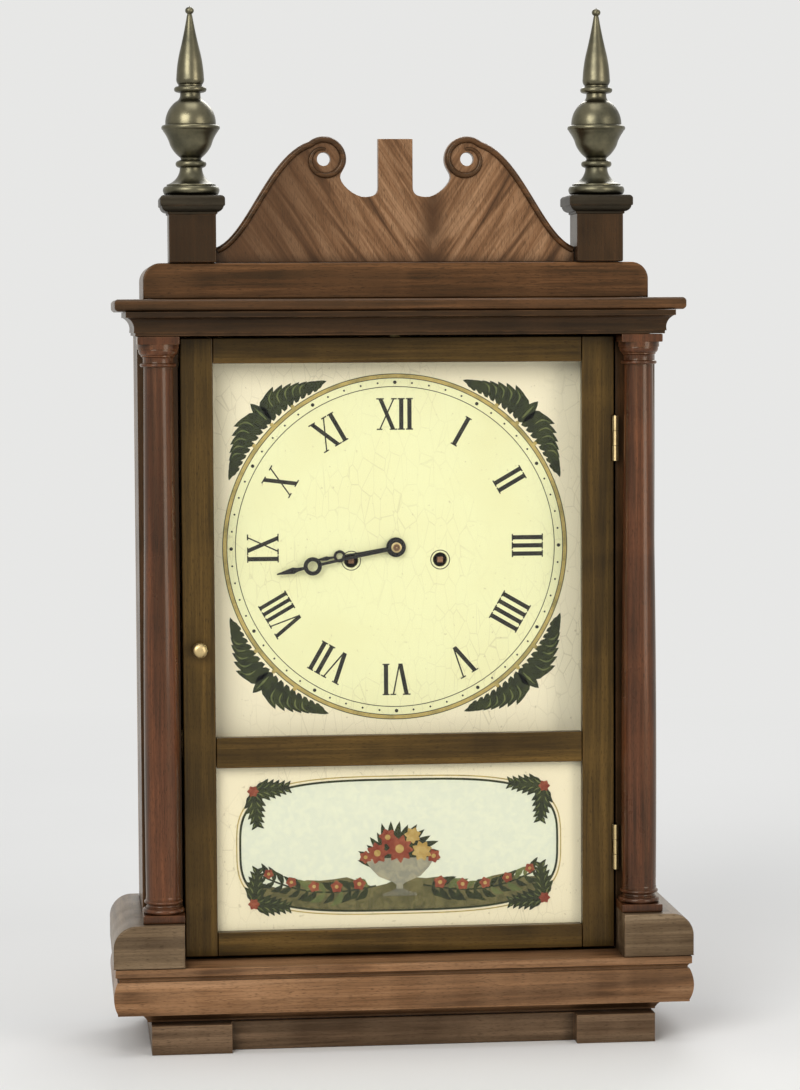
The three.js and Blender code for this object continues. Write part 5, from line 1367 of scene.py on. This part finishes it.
PALE = (0.8, 0.8, 0.79)
FLOOR_TONE = (0.84, 0.84, 0.83)
FLOOR_RADIUS = 9.0
FLOOR_NEAR = 0.6
FLOOR_FAR = 2.2
WORLD_LIGHT = 0.32
WORLD_TINT = (0.95, 0.97, 1, 1)
LAMP_AIM = (0, 0, 0.4)
# Each lamp's place, width, height, power and colour
LAMPS = {
    "key": ((-1.5, -2.5, 1.7), 1.8, 1.8, 68, (1, 0.99, 0.965)),
    "fill": ((1.9, -2.2, 0.9), 1.3, 1.8, 34, (1, 0.94, 0.86)),
    "top": ((0, -0.4, 3.1), 1.6, 1.6, 20, (1, 1, 1)),
    "rear": ((0.6, 2.3, 1.9), 1.6, 1.0, 26, (1, 1, 1)),
}


def add_stage():
    """A wide pale floor that fades into the background away from the clock."""
    bm = bmesh.new()
    bmesh.ops.create_circle(bm, cap_ends=True, segments=96, radius=FLOOR_RADIUS)
    for v in bm.verts:
        v.co.z = cad_low.z - 0.1 * MM
    mesh = bpy.data.meshes.new("floor")
    bm.to_mesh(mesh)
    bm.free()
    floor = bpy.data.objects.new("floor", mesh)
    SCENE.collection.objects.link(floor)
    look = Look("floor_card")
    cloud = look.noise(look.place, scale=3)
    look.set(Base_Color=look.mix(cloud, PALE, FLOOR_TONE), Roughness=0.9, Specular_IOR_Level=0.1)
    far = look.span(look.vector("LENGTH", look.place), FLOOR_NEAR, FLOOR_FAR)
    look.blend(far, look.shader, look.node("ShaderNodeEmission", Color=(*PALE, 1)))
    mesh.materials.append(look.material)


def add_world():
    """A pale background for the camera, mirrors and glass, over a dimmer light."""
    world = bpy.data.worlds.new("studio")
    world.use_nodes = True
    SCENE.world = world
    tree = world.node_tree
    seen = tree.nodes["Background"]
    seen.inputs["Color"].default_value = (*PALE, 1)
    light = tree.nodes.new("ShaderNodeBackground")
    light.inputs["Color"].default_value = WORLD_TINT
    light.inputs["Strength"].default_value = WORLD_LIGHT
    path = tree.nodes.new("ShaderNodeLightPath")
    rays = path.outputs["Is Camera Ray"]
    for kind in ("Is Glossy Ray", "Is Transmission Ray"):
        either = tree.nodes.new("ShaderNodeMath")
        either.operation = "MAXIMUM"
        tree.links.new(rays, either.inputs[0])
        tree.links.new(path.outputs[kind], either.inputs[1])
        rays = either.outputs[0]
    blend = tree.nodes.new("ShaderNodeMixShader")
    for source, socket in zip((rays, light.outputs[0], seen.outputs[0]), blend.inputs):
        tree.links.new(source, socket)
    tree.links.new(blend.outputs[0], tree.nodes["World Output"].inputs["Surface"])


def add_lamps():
    for name, (place, width, height, power, colour) in LAMPS.items():
        data = bpy.data.lights.new(name, "AREA")
        data.shape = "RECTANGLE"
        data.size = width
        data.size_y = height
        data.energy = power
        data.color = colour
        lamp = bpy.data.objects.new(name, data)
        turn = (Vector(LAMP_AIM) - Vector(place)).to_track_quat("-Z", "Y").to_matrix()
        lamp.matrix_world = Matrix.Translation(place) @ turn.to_4x4()
        SCENE.collection.objects.link(lamp)


dress_all()
add_base()
add_pedestals()
add_columns()
add_bed_moulding()
add_blocking_course()
add_crest()
add_finials()
paint_minute_ring()
paint_numerals()
paint_corner_leaves()
add_hands()
add_tablet()
add_knob()
add_bob()
add_bell()
add_weights_and_pulleys()
add_cords()
add_stage()
add_world()
add_lamps()
SCENE.view_settings.view_transform = "Standard"

bpy.context.view_layer.update()
